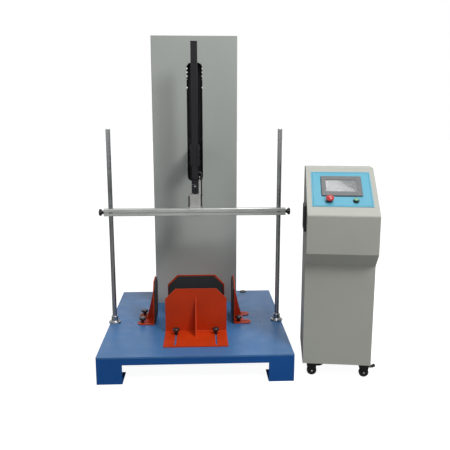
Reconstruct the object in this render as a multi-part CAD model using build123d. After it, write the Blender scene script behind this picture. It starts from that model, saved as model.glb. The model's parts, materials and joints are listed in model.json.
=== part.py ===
from build123d import *

import os
from math import atan2, cos, sin

# Luggage handle fatigue tester. Millimetres, +Z up, X to the right and Y to the back, seen from its front.
# The station stands on four corner legs. It has a blue deck, a grey column with a belt-driven carriage
# inside, a black pull bar with a load cell and an air gripper, two steel posts with a slotted crossbar, and
# four orange clamp brackets. The control console beside it runs on four casters.
# Everything is laid out about the middle of the base's footprint. The last section moves the whole model so
# that its origin is the bottom centre of its overall box.

# Clearances
SLIDE_GAP = 0.3  # between faces that slide or swing past each other
RUN_GAP = 0.05  # radial, shaft in bore
STUD_GAP = 0.5  # stud in the side of a clamp slot
STUD_SHORT = 1.0  # how far a stud stops short of the face that it could reach

# Base
BASE_WIDTH = 1000.0
BASE_DEPTH = 1080.0
BASE_HEIGHT = 145.0
DECK_PLATE = 8.0
FASCIA_DROP = 43.0
SKIRT_SHEET = 4.0
LEG_WIDTH = 130.0
BASE_CORNER_RADIUS = 3.0
FRAME_RIB = 8.0
FRONT_RIB_INSET = 240.0
COLUMN_RIB_INSET = 20.0
FOOT_PLATE = 6.0
FOOT_LEG_TUBE = 40.0

# Clamp brackets and their rows of clamp holes
FRONT_BRACKET_Y = -205.0
REAR_FOOT_GAP = 9.0
RIGHT_STUD_PLACE = 29.0
LEFT_STUD_PLACE = 71.0
BRACKET_SHEET = 5.0
BRACKET_HEIGHT = 249.0
BRACKET_BEND_RADIUS = 7.0
GUSSET_SHEET = 6.0
GUSSET_HEIGHT = 201.0
GUSSET_ROOT = 1.0
WIDE_BRACKET_WIDTH = 340.0
WIDE_BRACKET_CHAMFER = 57.0
WIDE_FOOT_LENGTH = 223.0
WIDE_SLOT_SPACING = 218.0
WIDE_SLOT_START = 35.0
WIDE_SLOT_LENGTH = 171.0
WIDE_GUSSET_REACH = 98.0
SIDE_BRACKET_WIDTH = 195.0
SIDE_BRACKET_CHAMFER = 38.0
SIDE_FOOT_LENGTH = 100.0
SIDE_TONGUE_WIDTH = 61.0
SIDE_SLOT_SPACING = 132.0
SIDE_SLOT_START = 16.0
SIDE_SLOT_LENGTH = 74.0
SIDE_GUSSET_REACH = 52.0
SIDE_FORK_MARGIN = 6.0
SIDE_TONGUE_FLAT = 2.0
PAD_THICKNESS = 8.0
PAD_MARGIN = 6.0
CLAMP_HOLE_PITCH = 63.0
SIDE_CLAMP_GAP = 78.0
SIDE_CLAMP_EDGE = 63.0
SIDE_CLAMP_ROWS = 4
WIDE_CLAMP_START = 47.0
WIDE_CLAMP_ROWS = 3
RIGHT_CLAMP_ROW = 0
LEFT_CLAMP_ROW = 1

# Clamp knobs
STUD_DIAMETER = 8.0
KNOB_DIAMETER = 40.0
KNOB_HEAD_HEIGHT = 13.0
KNOB_HUB_TOP = 29.0
KNOB_HUB_FOOT = 15.0
BRACKET_KNOB_HUB = 17.0
CROSSBAR_KNOB_HUB = 12.0
KNOB_WASHER_DIAMETER = 20.0
KNOB_WASHER = 2.0
KNOB_FLUTES = 6
KNOB_FLUTE_RADIUS = 6.0
KNOB_EDGE = 2.0
KNOB_CROWN = 4.0

# Posts and crossbar
POST_DIAMETER = 25.0
POST_INSET = 25.0
POST_CHAMFER = 2.0
POST_Y = -42.0
POST_TOP = 1260.0
FLANGE_DIAMETER = 68.0
FLANGE_PLATE = 9.0
FLANGE_COLLAR_DIAMETER = 38.0
FLANGE_HEIGHT = 42.0
FLANGE_EDGE = 1.5
FLANGE_ROOT = 5.0
FLANGE_COLLAR_EDGE = 2.0
FLANGE_BOLTS = 4
FLANGE_BOLT_CIRCLE = 53.0
FLANGE_BOLT_HOLE = 6.6
CROSSBAR_SECTION = 40.0
CROSSBAR_OVERHANG = 38.0
CROSSBAR_EDGE = 2.0
CROSSBAR_Z = 797.0
SLOT_MOUTH = 8.2
SLOT_LIP = 4.5
SLOT_CAVITY = 20.0
SLOT_SHOULDER = 2.0
SLOT_FLOOR = 10.2
SLOT_DEPTH = 12.2

# Column
COLUMN_WIDTH = 516.0
COLUMN_DEPTH = 240.0
COLUMN_TOP = 1800.0
COLUMN_SHEET = 2.5
COLUMN_FOLD = 20.0
COLUMN_SLOT_WIDTH = 95.0
COLUMN_SLOT_BOTTOM = 933.0
COLUMN_SLOT_TO_TOP = 154.0
COLUMN_SLOT_RADIUS = 30.0
COLUMN_SLOT_LIP = 12.0
LOUVRE_LENGTH = 150.0
LOUVRE_HEIGHT = 8.0
LOUVRE_PITCH = 24.0
LOUVRE_COUNT = 8
GROMMET_GAP = 58.0
GROMMET_INSET = 28.0
GROMMET_DIAMETER = 48.0
GROMMET_NECK = 36.0
GROMMET_FLANGE = 5.0
GROMMET_DIP = 2.0
GROMMET_WEB = 3.0
GROMMET_EDGE = 3.0
GROMMET_WALL = 4.0

# Linear module inside the column
BEAM_WIDTH = 90.0
BEAM_DEPTH = 50.0
BEAM_WALL = 4.0
BEAM_TO_BACK = 60.0
BEAM_STAND = 145.0
BEAM_HEADROOM = 130.0
BEAM_END_PLATE = 8.0
RAIL_SPACING = 64.0
RAIL_WIDTH = 12.0
RAIL_HEIGHT = 10.0
PULLEY_RADIUS = 30.0
PULLEY_FLANGE_RADIUS = 35.0
PULLEY_TEETH = 24
PULLEY_GROOVE = 4.0
PULLEY_SIDE_GAP = 1.0
PULLEY_FLANGE = 2.0
PULLEY_TO_BEAM = 55.0
BELT_WIDTH = 20.0
BELT_THICKNESS = 2.0
PULLEY_SHAFT = 12.0
PULLEY_EAR = 8.0
PULLEY_EAR_GAP = 44.0
STRAP_HEIGHT = 40.0
STRAP_SHEET = 4.0
LOW_STRAP_RISE = 210.0
HIGH_STRAP_DROP = 150.0
MOTOR_DIAMETER = 90.0
MOTOR_LENGTH = 190.0
MOTOR_FLANGE = 10.0
MOTOR_FLANGE_DIAMETER = 76.0
MOTOR_GAP = 0.5
MOTOR_FINS = 9
MOTOR_FIN = 5.0
MOTOR_FIN_DIAMETER = 98.0
MOTOR_FIN_START = 24.0
MOTOR_FIN_PITCH = 14.0
GEARBOX_SIZE = 84.0
GEARBOX_RADIUS = 6.0
GEARBOX_FOOT_GAP = 1.0
GEARBOX_FOOT_INSET = 8.0

# Carriage and pull bar
CARRIAGE_WIDTH = 110.0
CARRIAGE_PLATE = 10.0
CARRIAGE_LENGTH = 160.0
CARRIAGE_Z = 1110.0
CARRIAGE_RADIUS = 6.0
BELT_GRIP_SIDE = 4.0
BELT_GRIP_HEIGHT = 60.0
GUIDE_BLOCK_WIDTH = 34.0
GUIDE_BLOCK_LENGTH = 44.0
GUIDE_BLOCK_DEPTH = 18.0
GUIDE_OVERLAP = 6.0
ARM_WIDTH = 36.0
ARM_HEIGHT = 100.0
ARM_WALL = 5.0
ARM_RADIUS = 4.0
ARM_FLANGE = 8.0
ARM_FLANGE_INSET = 10.0
ARM_FLANGE_MARGIN = 15.0
BAR_CLAMP_HEIGHT = 120.0
BAR_CLAMP_CHEEK = 7.0
BAR_CLAMP_BACK = 8.0
BAR_CLAMP_LIP = 5.0
BAR_CLAMP_FRONT = 5.0
BAR_CLAMP_RADIUS = 3.0
BAR_SIZE = 38.0
BAR_WALL = 4.0
BAR_Y = 45.0
BAR_TO_TOP = 65.0
BAR_BOTTOM = 975.0
BAR_RADIUS = 3.0
BAR_CAP = 3.0
BAR_FOOT = 8.0
LUG_ROOT = 3.0
LUG_END = 7.0
LUG_WIDTH = 16.0
LUG_RADIUS = 6.0
LOAD_CELL_WIDTH = 40.0
LOAD_CELL_DEPTH = 28.0
LOAD_CELL_STUD = 16.0
LOAD_CELL_GAP = 5.0
LOAD_CELL_CUT = 4.0
LOAD_CELL_LIGAMENT = 12.0
LOAD_CELL_RADIUS = 4.0

# Gripper
GRIPPER_TOP = 888.0
GRIPPER_BOTTOM = 815.0
GRIPPER_WIDTH = 62.0
GRIPPER_DEPTH = 50.0
GRIPPER_RADIUS = 3.0
GRIPPER_GROOVE = 3.0
GRIPPER_GROOVE_LENGTH = 42.0
GRIPPER_GROOVE_DEPTH = 2.0
GRIPPER_HOLE = 7.0
GRIPPER_HOLE_SPACING = 28.0
GRIPPER_HOLE_DEPTH = 5.0
GRIPPER_HOLE_RISE = 9.0
GRIPPER_PLUG = 11.0
GRIPPER_PLUG_PROUD = 3.0
CHEEK_SHEET = 9.0
CHEEK_INSET = 2.0
CHEEK_CHAMFER = 2.0
CHEEK_BOTTOM = 818.0
CHEEK_TOP = 874.0
JAW_RAIL_WIDTH = 92.0
JAW_RAIL_DEPTH = 90.0
JAW_RAIL_PLATE = 5.0
JAW_RAIL_INSET = 4.0
JAW_END_PLATE = 6.0
JAW_END_DROP = 24.0
JAW_FLARE_DROP = 9.0
JAW_FLARE_INSET = 10.0
JAW_ROD = 8.0
JAW_ROD_SPACING = 44.0
JAW_ROD_DROP = 14.0
JAW_WIDTH = 76.0
JAW_THICKNESS = 14.0
JAW_OPENING = 30.0
JAW_FINGER_DROP = 54.0
JAW_CHAMFER = 3.0
JAW_TEETH = 5
JAW_TOOTH = 1.4
JAW_TOOTH_START = 4.0
JAW_TOOTH_PITCH = 5.0
STEADY_ROD = 7.0
STEADY_ROD_X = 25.5
STEADY_ROD_PROUD = 14.0
HOSE_DIAMETER = 8.0
HOSE_FITTING_DIAMETER = 11.0
HOSE_FITTING = 10.0
HOSE_PORT = 6.0
HOSE_BEND = 11.5
HOSE_X = 37.0
HOSE_TOP = 1012.0

# Console
CONSOLE_GAP = 217.0
CONSOLE_SETBACK = 9.0
CONSOLE_TURN_DEGREES = -8.0
CONSOLE_WIDTH = 343.0
CONSOLE_DEPTH = 340.0
CONSOLE_FLOOR = 82.0
CONSOLE_KNEE = 604.0
CONSOLE_CHIN = 677.0
CONSOLE_LIP = 866.0
CONSOLE_TOP = 1068.0
CONSOLE_OVERHANG = 78.0
CONSOLE_LEDGE = 125.0
CONSOLE_SHEET = 2.0
CONSOLE_LIP_RADIUS = 14.0
CONSOLE_EDGE_RADIUS = 6.0
REAR_OPENING_MARGIN = 16.0
REAR_PANEL_MARGIN = 7.0
REAR_PANEL_SHEET = 1.5
REAR_PANEL_RADIUS = 4.0
PANEL_WIDTH = 294.0
PANEL_LENGTH = 258.0
PANEL_START = 60.0
PANEL_SHEET = 2.0
PANEL_RADIUS = 3.0
HMI_WIDTH = 200.0
HMI_HEIGHT = 148.0
HMI_CENTRE = 206.0
HMI_PROUD = 7.0
HMI_BODY_WIDTH = 190.0
HMI_BODY_HEIGHT = 138.0
HMI_BODY_DEPTH = 36.0
HMI_BODY_GAP = 0.5
HMI_RADIUS = 5.0
HMI_CHAMFER = 3.0
SCREEN_WIDTH = 154.0
SCREEN_HEIGHT = 87.0
SCREEN_RECESS = 2.0
SCREEN_GLASS = 3.0
ESTOP_X = -62.0
ESTOP_S = 103.0
ESTOP_DIAMETER = 40.0
ESTOP_TRAVEL = 4.0
ESTOP_SEAT_GAP = 1.0
ESTOP_EDGE = 3.0
ESTOP_SIDE = 8.0
ESTOP_CROWN = 9.0
START_X = 64.0
START_S = 100.0
START_CAP = 22.0
START_TRAVEL = 3.0
START_SEAT_GAP = 0.6
START_HEIGHT = 6.0
START_EDGE = 1.5
STEM_END = 2.0
COLLAR_DIAMETER = 30.0
COLLAR_HEIGHT = 6.0
COLLAR_CHAMFER = 1.5
SWITCH_HOLE = 22.5
SWITCH_HOLE_GAP = 0.25
SWITCH_BODY_DEPTH = 34.0
SWITCH_WALL = 2.5
FAN_SIZE = 128.0
FAN_PROUD = 14.0
FAN_V = 55.0
FAN_Z = 836.0
FAN_BORDER = 9.0
FAN_CHAMFER = 4.0
FAN_HOLE_MARGIN = 2.0
FAN_SLATS = 8
FAN_SLAT_DEPTH = 10.0
FAN_SLAT_SHEET = 2.0
FAN_SLAT_ROOT = 0.5
FAN_SLAT_DEGREES = 38.0

# Casters
CASTER_INSET_X = 38.0
CASTER_INSET_Y = 50.0
CASTER_PLATE = 4.0
CASTER_PLATE_SIZE = 54.0
WHEEL_DIAMETER = 50.0
WHEEL_WIDTH = 20.0
WHEEL_AXLE = 8.0
CASTER_TRAIL = 12.0
WHEEL_HUB = 5.0
WHEEL_STEP = 1.0
WHEEL_DISH = 2.0
WHEEL_TYRE = 6.0
WHEEL_TYRE_INSET = 0.5
WHEEL_SHOULDER = 3.0
WHEEL_SHOULDER_DROP = 4.0
FORK_SHEET = 3.0
FORK_WHEEL_GAP = 1.5
FORK_HEAD = 4.0
FORK_BACK = 16.0
FORK_BACK_TAPER = 2.0
FORK_FRONT = 10.0
FORK_LUG = 9.0
FORK_LUG_DROP = 7.0
FORK_BRIDGE_RISE = 9.0
FORK_AXLE_END = 2.0
FORK_HEAD_DIAMETER = 40.0
KINGPIN = 10.0
PEDAL_LENGTH = 40.0
PEDAL_WIDTH = 28.0
PEDAL_SHEET = 4.0
PEDAL_PIVOT = 5.0
PEDAL_PIVOT_BACK = 8.0
PEDAL_PIVOT_RISE = 3.0
PEDAL_BACK = 5.0
PEDAL_BACK_RISE = 3.5
PEDAL_BACK_DROP = 1.0
PEDAL_NOSE_BACK = 3.0
PEDAL_NOSE_DROP = 3.5
PEDAL_NECK = 6.0
PEDAL_NECK_RISE = 5.0
PEDAL_TREAD_START = 9.0
PEDAL_KNEE = 24.8
PEDAL_KNEE_RISE = 7.0
PEDAL_KNEE_UNDER = 27.2
PEDAL_TOE_RISE = 14.0
PEDAL_TOE_LIP = 3.0

# Levels and places that follow from the sizes above
deck_z = BASE_HEIGHT
plate_bottom = BASE_HEIGHT - DECK_PLATE
gap_top = BASE_HEIGHT - FASCIA_DROP
post_x = BASE_WIDTH / 2 - POST_INSET
crossbar_end = post_x + CROSSBAR_OVERHANG
column_back = BASE_DEPTH / 2
column_front = column_back - COLUMN_DEPTH
column_slot_top = COLUMN_TOP - COLUMN_SLOT_TO_TOP
grommet_x = COLUMN_WIDTH / 2 + GROMMET_GAP
grommet_y = column_back - GROMMET_INSET
beam_y = column_back - BEAM_TO_BACK
beam_front = beam_y - BEAM_DEPTH / 2
beam_bottom = deck_z + BEAM_STAND
beam_top = COLUMN_TOP - BEAM_HEADROOM
strap_levels = (beam_bottom + LOW_STRAP_RISE, (beam_bottom + beam_top) / 2, beam_top - HIGH_STRAP_DROP)
belt_inner = PULLEY_RADIUS + RUN_GAP
belt_outer = belt_inner + BELT_THICKNESS
pulley_levels = (beam_bottom - PULLEY_TO_BEAM, beam_top + PULLEY_TO_BEAM)
pulley_ear_out = PULLEY_EAR_GAP / 2 + PULLEY_EAR
block_back = beam_front - RAIL_HEIGHT + GUIDE_OVERLAP
plate_back = block_back - GUIDE_BLOCK_DEPTH
plate_front = plate_back - CARRIAGE_PLATE
bar_top = COLUMN_TOP - BAR_TO_TOP
bar_back = BAR_Y + BAR_SIZE / 2
bracket_z = deck_z + SLIDE_GAP
knob_seat_z = bracket_z + BRACKET_SHEET + SLIDE_GAP
slope_run = CONSOLE_DEPTH - CONSOLE_LEDGE + CONSOLE_OVERHANG
slope_rise = CONSOLE_TOP - CONSOLE_LIP
slope_angle = atan2(slope_rise, slope_run)
console_x = BASE_WIDTH / 2 + CONSOLE_GAP
console_y = CONSOLE_SETBACK - BASE_DEPTH / 2
console_place = Location((console_x, console_y, 0), (0, 0, CONSOLE_TURN_DEGREES))
panel_plane = Plane(
    origin=(0, -CONSOLE_OVERHANG, CONSOLE_LIP),
    x_dir=(1, 0, 0),
    z_dir=(0, -sin(slope_angle), cos(slope_angle)),
)
wide_clamp_x = WIDE_SLOT_SPACING / 2
side_clamp_y = SIDE_SLOT_SPACING / 2
side_clamp_start = WIDE_BRACKET_WIDTH / 2 + SIDE_CLAMP_GAP
side_clamp_pitch = (BASE_WIDTH / 2 - SIDE_CLAMP_EDGE - side_clamp_start) / (SIDE_CLAMP_ROWS - 1)
side_clamp_xs = [side_clamp_start + side_clamp_pitch * row for row in range(SIDE_CLAMP_ROWS)]
rear_bracket_y = column_front - WIDE_FOOT_LENGTH - REAR_FOOT_GAP
wide_rows = [WIDE_CLAMP_START + CLAMP_HOLE_PITCH * row for row in range(WIDE_CLAMP_ROWS)]
front_clamp_ys = [FRONT_BRACKET_Y - row for row in wide_rows]
rear_clamp_ys = [rear_bracket_y + row for row in wide_rows]
right_clamp_x = side_clamp_xs[RIGHT_CLAMP_ROW]
left_clamp_x = -side_clamp_xs[LEFT_CLAMP_ROW]
switch_places = ((ESTOP_X, ESTOP_S), (START_X, START_S))
stem_diameter = START_CAP - 2 * SWITCH_WALL
switch_seat = PANEL_SHEET + COLLAR_HEIGHT


def block(x0, x1, y0, y1, z0, z1):
    """A box from its lowest to its highest corner."""
    return Pos((x0 + x1) / 2, (y0 + y1) / 2, (z0 + z1) / 2) * Box(x1 - x0, y1 - y0, z1 - z0)


def rod_x(diameter, x0, x1, y, z):
    """A round bar along X."""
    return Pos((x0 + x1) / 2, y, z) * Rot(0, 90, 0) * Cylinder(diameter / 2, x1 - x0)


def rod_y(diameter, x, y0, y1, z):
    """A round bar along Y."""
    return Pos(x, (y0 + y1) / 2, z) * Rot(90, 0, 0) * Cylinder(diameter / 2, y1 - y0)


def rod_z(diameter, x, y, z0, z1):
    """A round bar along Z."""
    return Pos(x, y, (z0 + z1) / 2) * Cylinder(diameter / 2, z1 - z0)


def group(*shapes):
    """Separate solids that share one node."""
    return Compound([solid for shape in shapes for solid in shape.solids()])


def near(sketch, *points):
    """The corners of a sketch that lie at the given points."""
    return [sketch.vertices().sort_by_distance(point)[0] for point in points]


# Base
def base_deck():
    deck = block(-BASE_WIDTH / 2, BASE_WIDTH / 2, -BASE_DEPTH / 2, BASE_DEPTH / 2, plate_bottom, deck_z)
    deck = fillet(deck.edges().filter_by(Axis.Z), BASE_CORNER_RADIUS)
    hole = STUD_DIAMETER + 2 * RUN_GAP
    for side in (-1, 1):
        for x in side_clamp_xs:
            for row in (-1, 1):
                deck -= rod_z(hole, side * x, row * side_clamp_y, plate_bottom, deck_z)
        for y in front_clamp_ys + rear_clamp_ys:
            deck -= rod_z(hole, side * wide_clamp_x, y, plate_bottom, deck_z)
    return deck - rod_z(GROMMET_NECK, grommet_x, grommet_y, plate_bottom, deck_z)


def base_skirt():
    outer = Box(BASE_WIDTH, BASE_DEPTH, plate_bottom)
    outer = fillet(outer.edges().filter_by(Axis.Z), BASE_CORNER_RADIUS)
    skirt = outer - Box(BASE_WIDTH - 2 * SKIRT_SHEET, BASE_DEPTH - 2 * SKIRT_SHEET, plate_bottom)
    skirt = Pos(0, 0, plate_bottom / 2) * skirt
    front_gap = Pos(0, 0, gap_top / 2) * Box(BASE_WIDTH - 2 * LEG_WIDTH, BASE_DEPTH, gap_top)
    side_gap = Pos(0, 0, gap_top / 2) * Box(BASE_WIDTH, BASE_DEPTH - 2 * LEG_WIDTH, gap_top)
    return skirt - front_gap - side_gap


def rib(x0, x1, y0, y1):
    """A flat bar that stands on edge under the deck."""
    return block(x0, x1, y0, y1, gap_top, plate_bottom)


def base_frame():
    """Welded members under the deck: bars along its edges and across it, corner posts and foot plates."""
    inner_x = BASE_WIDTH / 2 - SKIRT_SHEET
    inner_y = BASE_DEPTH / 2 - SKIRT_SHEET
    corner = FOOT_LEG_TUBE
    foot_size = LEG_WIDTH - SKIRT_SHEET
    reach = inner_x - FRAME_RIB
    members = []
    for y in (FRONT_RIB_INSET - BASE_DEPTH / 2, 0, column_front + COLUMN_RIB_INSET):
        members.append(rib(-reach, reach, y - FRAME_RIB / 2, y + FRAME_RIB / 2))
    for side in (-1, 1):
        x0, x1 = sorted((side * inner_x, side * reach))
        members.append(rib(x0, x1, corner - inner_y, inner_y - corner))
        y0, y1 = sorted((side * inner_y, side * (inner_y - FRAME_RIB)))
        members.append(rib(corner - inner_x, inner_x - corner, y0, y1))
        for end in (-1, 1):
            leg = Box(corner, corner, plate_bottom - FOOT_PLATE)
            leg_level = (FOOT_PLATE + plate_bottom) / 2
            members.append(Pos(side * (inner_x - corner / 2), end * (inner_y - corner / 2), leg_level) * leg)
            foot = Box(foot_size, foot_size, FOOT_PLATE)
            foot_x = side * (inner_x - foot_size / 2)
            foot_y = end * (inner_y - foot_size / 2)
            members.append(Pos(foot_x, foot_y, FOOT_PLATE / 2) * foot)
    return group(*members)


# Column
def slot_outline(margin):
    width = COLUMN_SLOT_WIDTH + 2 * margin
    height = column_slot_top - COLUMN_SLOT_BOTTOM + 2 * margin
    return RectangleRounded(width, height, COLUMN_SLOT_RADIUS + margin)


def column_shell():
    """Front, sides and top folded from one sheet, a lipped slot, and strips welded inside the open edges."""
    half = COLUMN_WIDTH / 2
    sheet = COLUMN_SHEET
    back = column_back - sheet
    shell = block(-half, half, column_front, back, deck_z, COLUMN_TOP)
    shell = fillet(shell.edges().filter_by(Axis.Z).group_by(Axis.Y)[0], 2 * sheet)
    inner = half - sheet
    inner_front = column_front + sheet
    inner_top = COLUMN_TOP - sheet
    shell -= block(-inner, inner, inner_front, back, deck_z, inner_top)
    slot_plane = Plane.XZ * Pos(0, (column_slot_top + COLUMN_SLOT_BOTTOM) / 2)
    lip = extrude(slot_plane * (slot_outline(sheet) - slot_outline(0)), amount=-COLUMN_SLOT_LIP)
    slot = extrude(slot_plane * slot_outline(0), amount=-sheet)
    shell = shell - Pos(0, column_front, 0) * slot + Pos(0, column_front, 0) * lip
    width = COLUMN_FOLD
    strips = [
        block(-inner, width - inner, back - sheet, back, deck_z, inner_top),
        block(inner - width, inner, back - sheet, back, deck_z, inner_top),
        block(width - inner, inner - width, back - sheet, back, inner_top - width, inner_top),
        block(width - inner, inner - width, back - sheet, back, deck_z, deck_z + width),
        block(-inner, inner, inner_front, inner_front + width, deck_z, deck_z + sheet),
    ]
    return group(shell, *strips)


def louvres(x, y0, y1, z_start, count):
    """A ladder of slots with round ends that cuts through a rear cover."""
    cut = extrude(Plane.XZ * SlotOverall(LOUVRE_LENGTH, LOUVRE_HEIGHT), amount=y0 - y1)
    return [Pos(x, y0, z_start + LOUVRE_PITCH * step) * cut for step in range(count)]


def column_rear_cover():
    half = COLUMN_WIDTH / 2
    cover = block(-half, half, column_back - COLUMN_SHEET, column_back, deck_z, COLUMN_TOP)
    span = LOUVRE_PITCH * LOUVRE_COUNT
    for start in (deck_z + span / 2, COLUMN_TOP - 1.5 * span):
        cover -= louvres(0, column_back - COLUMN_SHEET, column_back, start, LOUVRE_COUNT)
    return cover


def deck_grommet():
    """A rubber membrane grommet snapped into the deck behind the column's right side."""
    neck = GROMMET_NECK / 2
    rim = GROMMET_DIAMETER / 2
    top = deck_z + GROMMET_FLANGE
    web_top = top - GROMMET_DIP
    outline = Polyline(
        (0, web_top),
        (neck - 2 * GROMMET_EDGE, web_top),
        (neck - GROMMET_EDGE, top),
        (rim - GROMMET_EDGE, top),
        (rim, deck_z),
        (neck, deck_z),
        (neck, plate_bottom),
        (neck - GROMMET_WALL, plate_bottom),
        (neck - GROMMET_WALL, web_top - GROMMET_WEB),
        (0, web_top - GROMMET_WEB),
        close=True,
    )
    ring = revolve(Plane.XZ * make_face(outline), Axis.Z)
    return Pos(grommet_x, grommet_y, 0) * ring


# Linear module
def module_beam():
    """The belt module's fixed parts: beam, end brackets with pulley ears, straps and guide rails."""
    half = BEAM_WIDTH / 2
    wall = BEAM_WALL
    beam_back = beam_y + BEAM_DEPTH / 2
    beam = block(-half, half, beam_front, beam_back, beam_bottom, beam_top)
    beam -= block(wall - half, half - wall, beam_front + wall, beam_back - wall, beam_bottom, beam_top)
    ear_in = PULLEY_EAR_GAP / 2
    ear_bore = PULLEY_SHAFT + 2 * RUN_GAP
    low = block(-half, half, beam_front, beam_back, beam_bottom - BEAM_END_PLATE, beam_bottom)
    low += block(-half, half, beam_front, beam_back, deck_z, deck_z + BEAM_END_PLATE)
    high = block(-half, half, beam_front, beam_back, beam_top, beam_top + BEAM_END_PLATE)
    ear_top = pulley_levels[1] + PULLEY_FLANGE_RADIUS
    for side in (-1, 1):
        x0, x1 = sorted((side * ear_in, side * pulley_ear_out))
        low += block(x0, x1, beam_front, beam_back, deck_z, beam_bottom)
        high += block(x0, x1, beam_front, beam_back, beam_top, ear_top)
    low -= rod_x(ear_bore, -pulley_ear_out, pulley_ear_out, beam_y, pulley_levels[0])
    high -= rod_x(ear_bore, -pulley_ear_out, pulley_ear_out, beam_y, pulley_levels[1])
    inner = COLUMN_WIDTH / 2 - COLUMN_SHEET
    strap = block(-inner, inner, beam_back, beam_back + STRAP_SHEET, 0, STRAP_HEIGHT)
    straps = [Pos(0, 0, z) * strap for z in strap_levels]
    rail_half = RAIL_WIDTH / 2
    rail = block(-rail_half, rail_half, beam_front - RAIL_HEIGHT, beam_front, beam_bottom, beam_top)
    rails = [Pos(side * RAIL_SPACING / 2, 0, 0) * rail for side in (-1, 1)]
    return group(beam, low, high, *straps, *rails)


def timing_belt():
    length = pulley_levels[1] - pulley_levels[0]
    loop = SlotCenterToCenter(length, 2 * belt_outer) - SlotCenterToCenter(length, 2 * belt_inner)
    belt = extrude(Plane.YZ * Rot(0, 0, 90) * loop, amount=BELT_WIDTH / 2, both=True)
    return Pos(0, beam_y, sum(pulley_levels) / 2) * belt


def pulley(z, shaft_start, shaft_end):
    """A toothed belt pulley with flanges on its own shaft."""
    half = BELT_WIDTH / 2 + PULLEY_SIDE_GAP
    wheel = rod_x(2 * PULLEY_RADIUS, -half, half, 0, 0)
    groove = rod_x(PULLEY_GROOVE, -half, half, PULLEY_RADIUS, 0)
    wheel -= [Rot(360 / PULLEY_TEETH * tooth, 0, 0) * groove for tooth in range(PULLEY_TEETH)]
    for side in (-1, 1):
        x0, x1 = sorted((side * half, side * (half + PULLEY_FLANGE)))
        wheel += rod_x(2 * PULLEY_FLANGE_RADIUS, x0, x1, 0, 0)
    wheel += rod_x(PULLEY_SHAFT, shaft_start, shaft_end, 0, 0)
    return Pos(0, beam_y, z) * wheel


def drive_pulley():
    return pulley(pulley_levels[0], -pulley_ear_out, pulley_ear_out + GEARBOX_SIZE / 2)


def idler_pulley():
    return pulley(pulley_levels[1], -pulley_ear_out, pulley_ear_out)


def gear_motor():
    """Right-angle gearbox on the drive shaft with the motor standing on it."""
    x0 = pulley_ear_out
    x1 = x0 + GEARBOX_SIZE
    half = GEARBOX_SIZE / 2
    y0 = beam_y - half
    y1 = beam_y + half
    z0 = pulley_levels[0] - half
    z1 = pulley_levels[0] + half
    box = fillet(block(x0, x1, y0, y1, z0, z1).edges().filter_by(Axis.Z), GEARBOX_RADIUS)
    box -= rod_x(PULLEY_SHAFT + 2 * RUN_GAP, x0, x0 + half + SLIDE_GAP, beam_y, pulley_levels[0])
    inset = GEARBOX_FOOT_INSET
    foot = block(BEAM_WIDTH / 2 + GEARBOX_FOOT_GAP, x1 - inset, y0 + inset, y1 - inset, deck_z, z0)
    motor_x = BEAM_WIDTH / 2 + MOTOR_FIN_DIAMETER / 2 + MOTOR_GAP
    flange = rod_z(MOTOR_FLANGE_DIAMETER, motor_x, beam_y, z1, z1 + MOTOR_FLANGE)
    motor = rod_z(MOTOR_DIAMETER, motor_x, beam_y, z1 + MOTOR_FLANGE, z1 + MOTOR_LENGTH)
    fin = rod_z(MOTOR_FIN_DIAMETER, motor_x, beam_y, z1 + MOTOR_FIN_START, z1 + MOTOR_FIN_START + MOTOR_FIN)
    fins = [Pos(0, 0, MOTOR_FIN_PITCH * index) * fin for index in range(MOTOR_FINS)]
    return box + foot + flange + motor + fins


# Carriage
def carriage():
    """The carriage plate with four guide blocks on the rails and a clamp on the belt's front run."""
    low = CARRIAGE_Z - CARRIAGE_LENGTH / 2
    high = CARRIAGE_Z + CARRIAGE_LENGTH / 2
    half = CARRIAGE_WIDTH / 2
    body = block(-half, half, plate_front, plate_back, low, high)
    body = fillet(body.edges().filter_by(Axis.Y), CARRIAGE_RADIUS)
    solids = []
    rail_front = beam_front - RAIL_HEIGHT
    guide_half = GUIDE_BLOCK_WIDTH / 2
    groove_half = RAIL_WIDTH / 2 + SLIDE_GAP
    for side in (-1, 1):
        x = side * RAIL_SPACING / 2
        for z in (low, high - GUIDE_BLOCK_LENGTH):
            top = z + GUIDE_BLOCK_LENGTH
            guide = block(x - guide_half, x + guide_half, plate_back, block_back, z, top)
            guide -= block(x - groove_half, x + groove_half, rail_front - SLIDE_GAP, block_back, z, top)
            solids.append(guide)
    belt_front = beam_y - belt_outer
    grip = BELT_WIDTH / 2 + BELT_GRIP_SIDE
    grip_z = BELT_GRIP_HEIGHT / 2
    grip_back = belt_front - SLIDE_GAP
    solids.append(block(-grip, grip, plate_back, grip_back, CARRIAGE_Z - grip_z, CARRIAGE_Z + grip_z))
    return group(body, *solids)


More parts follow.
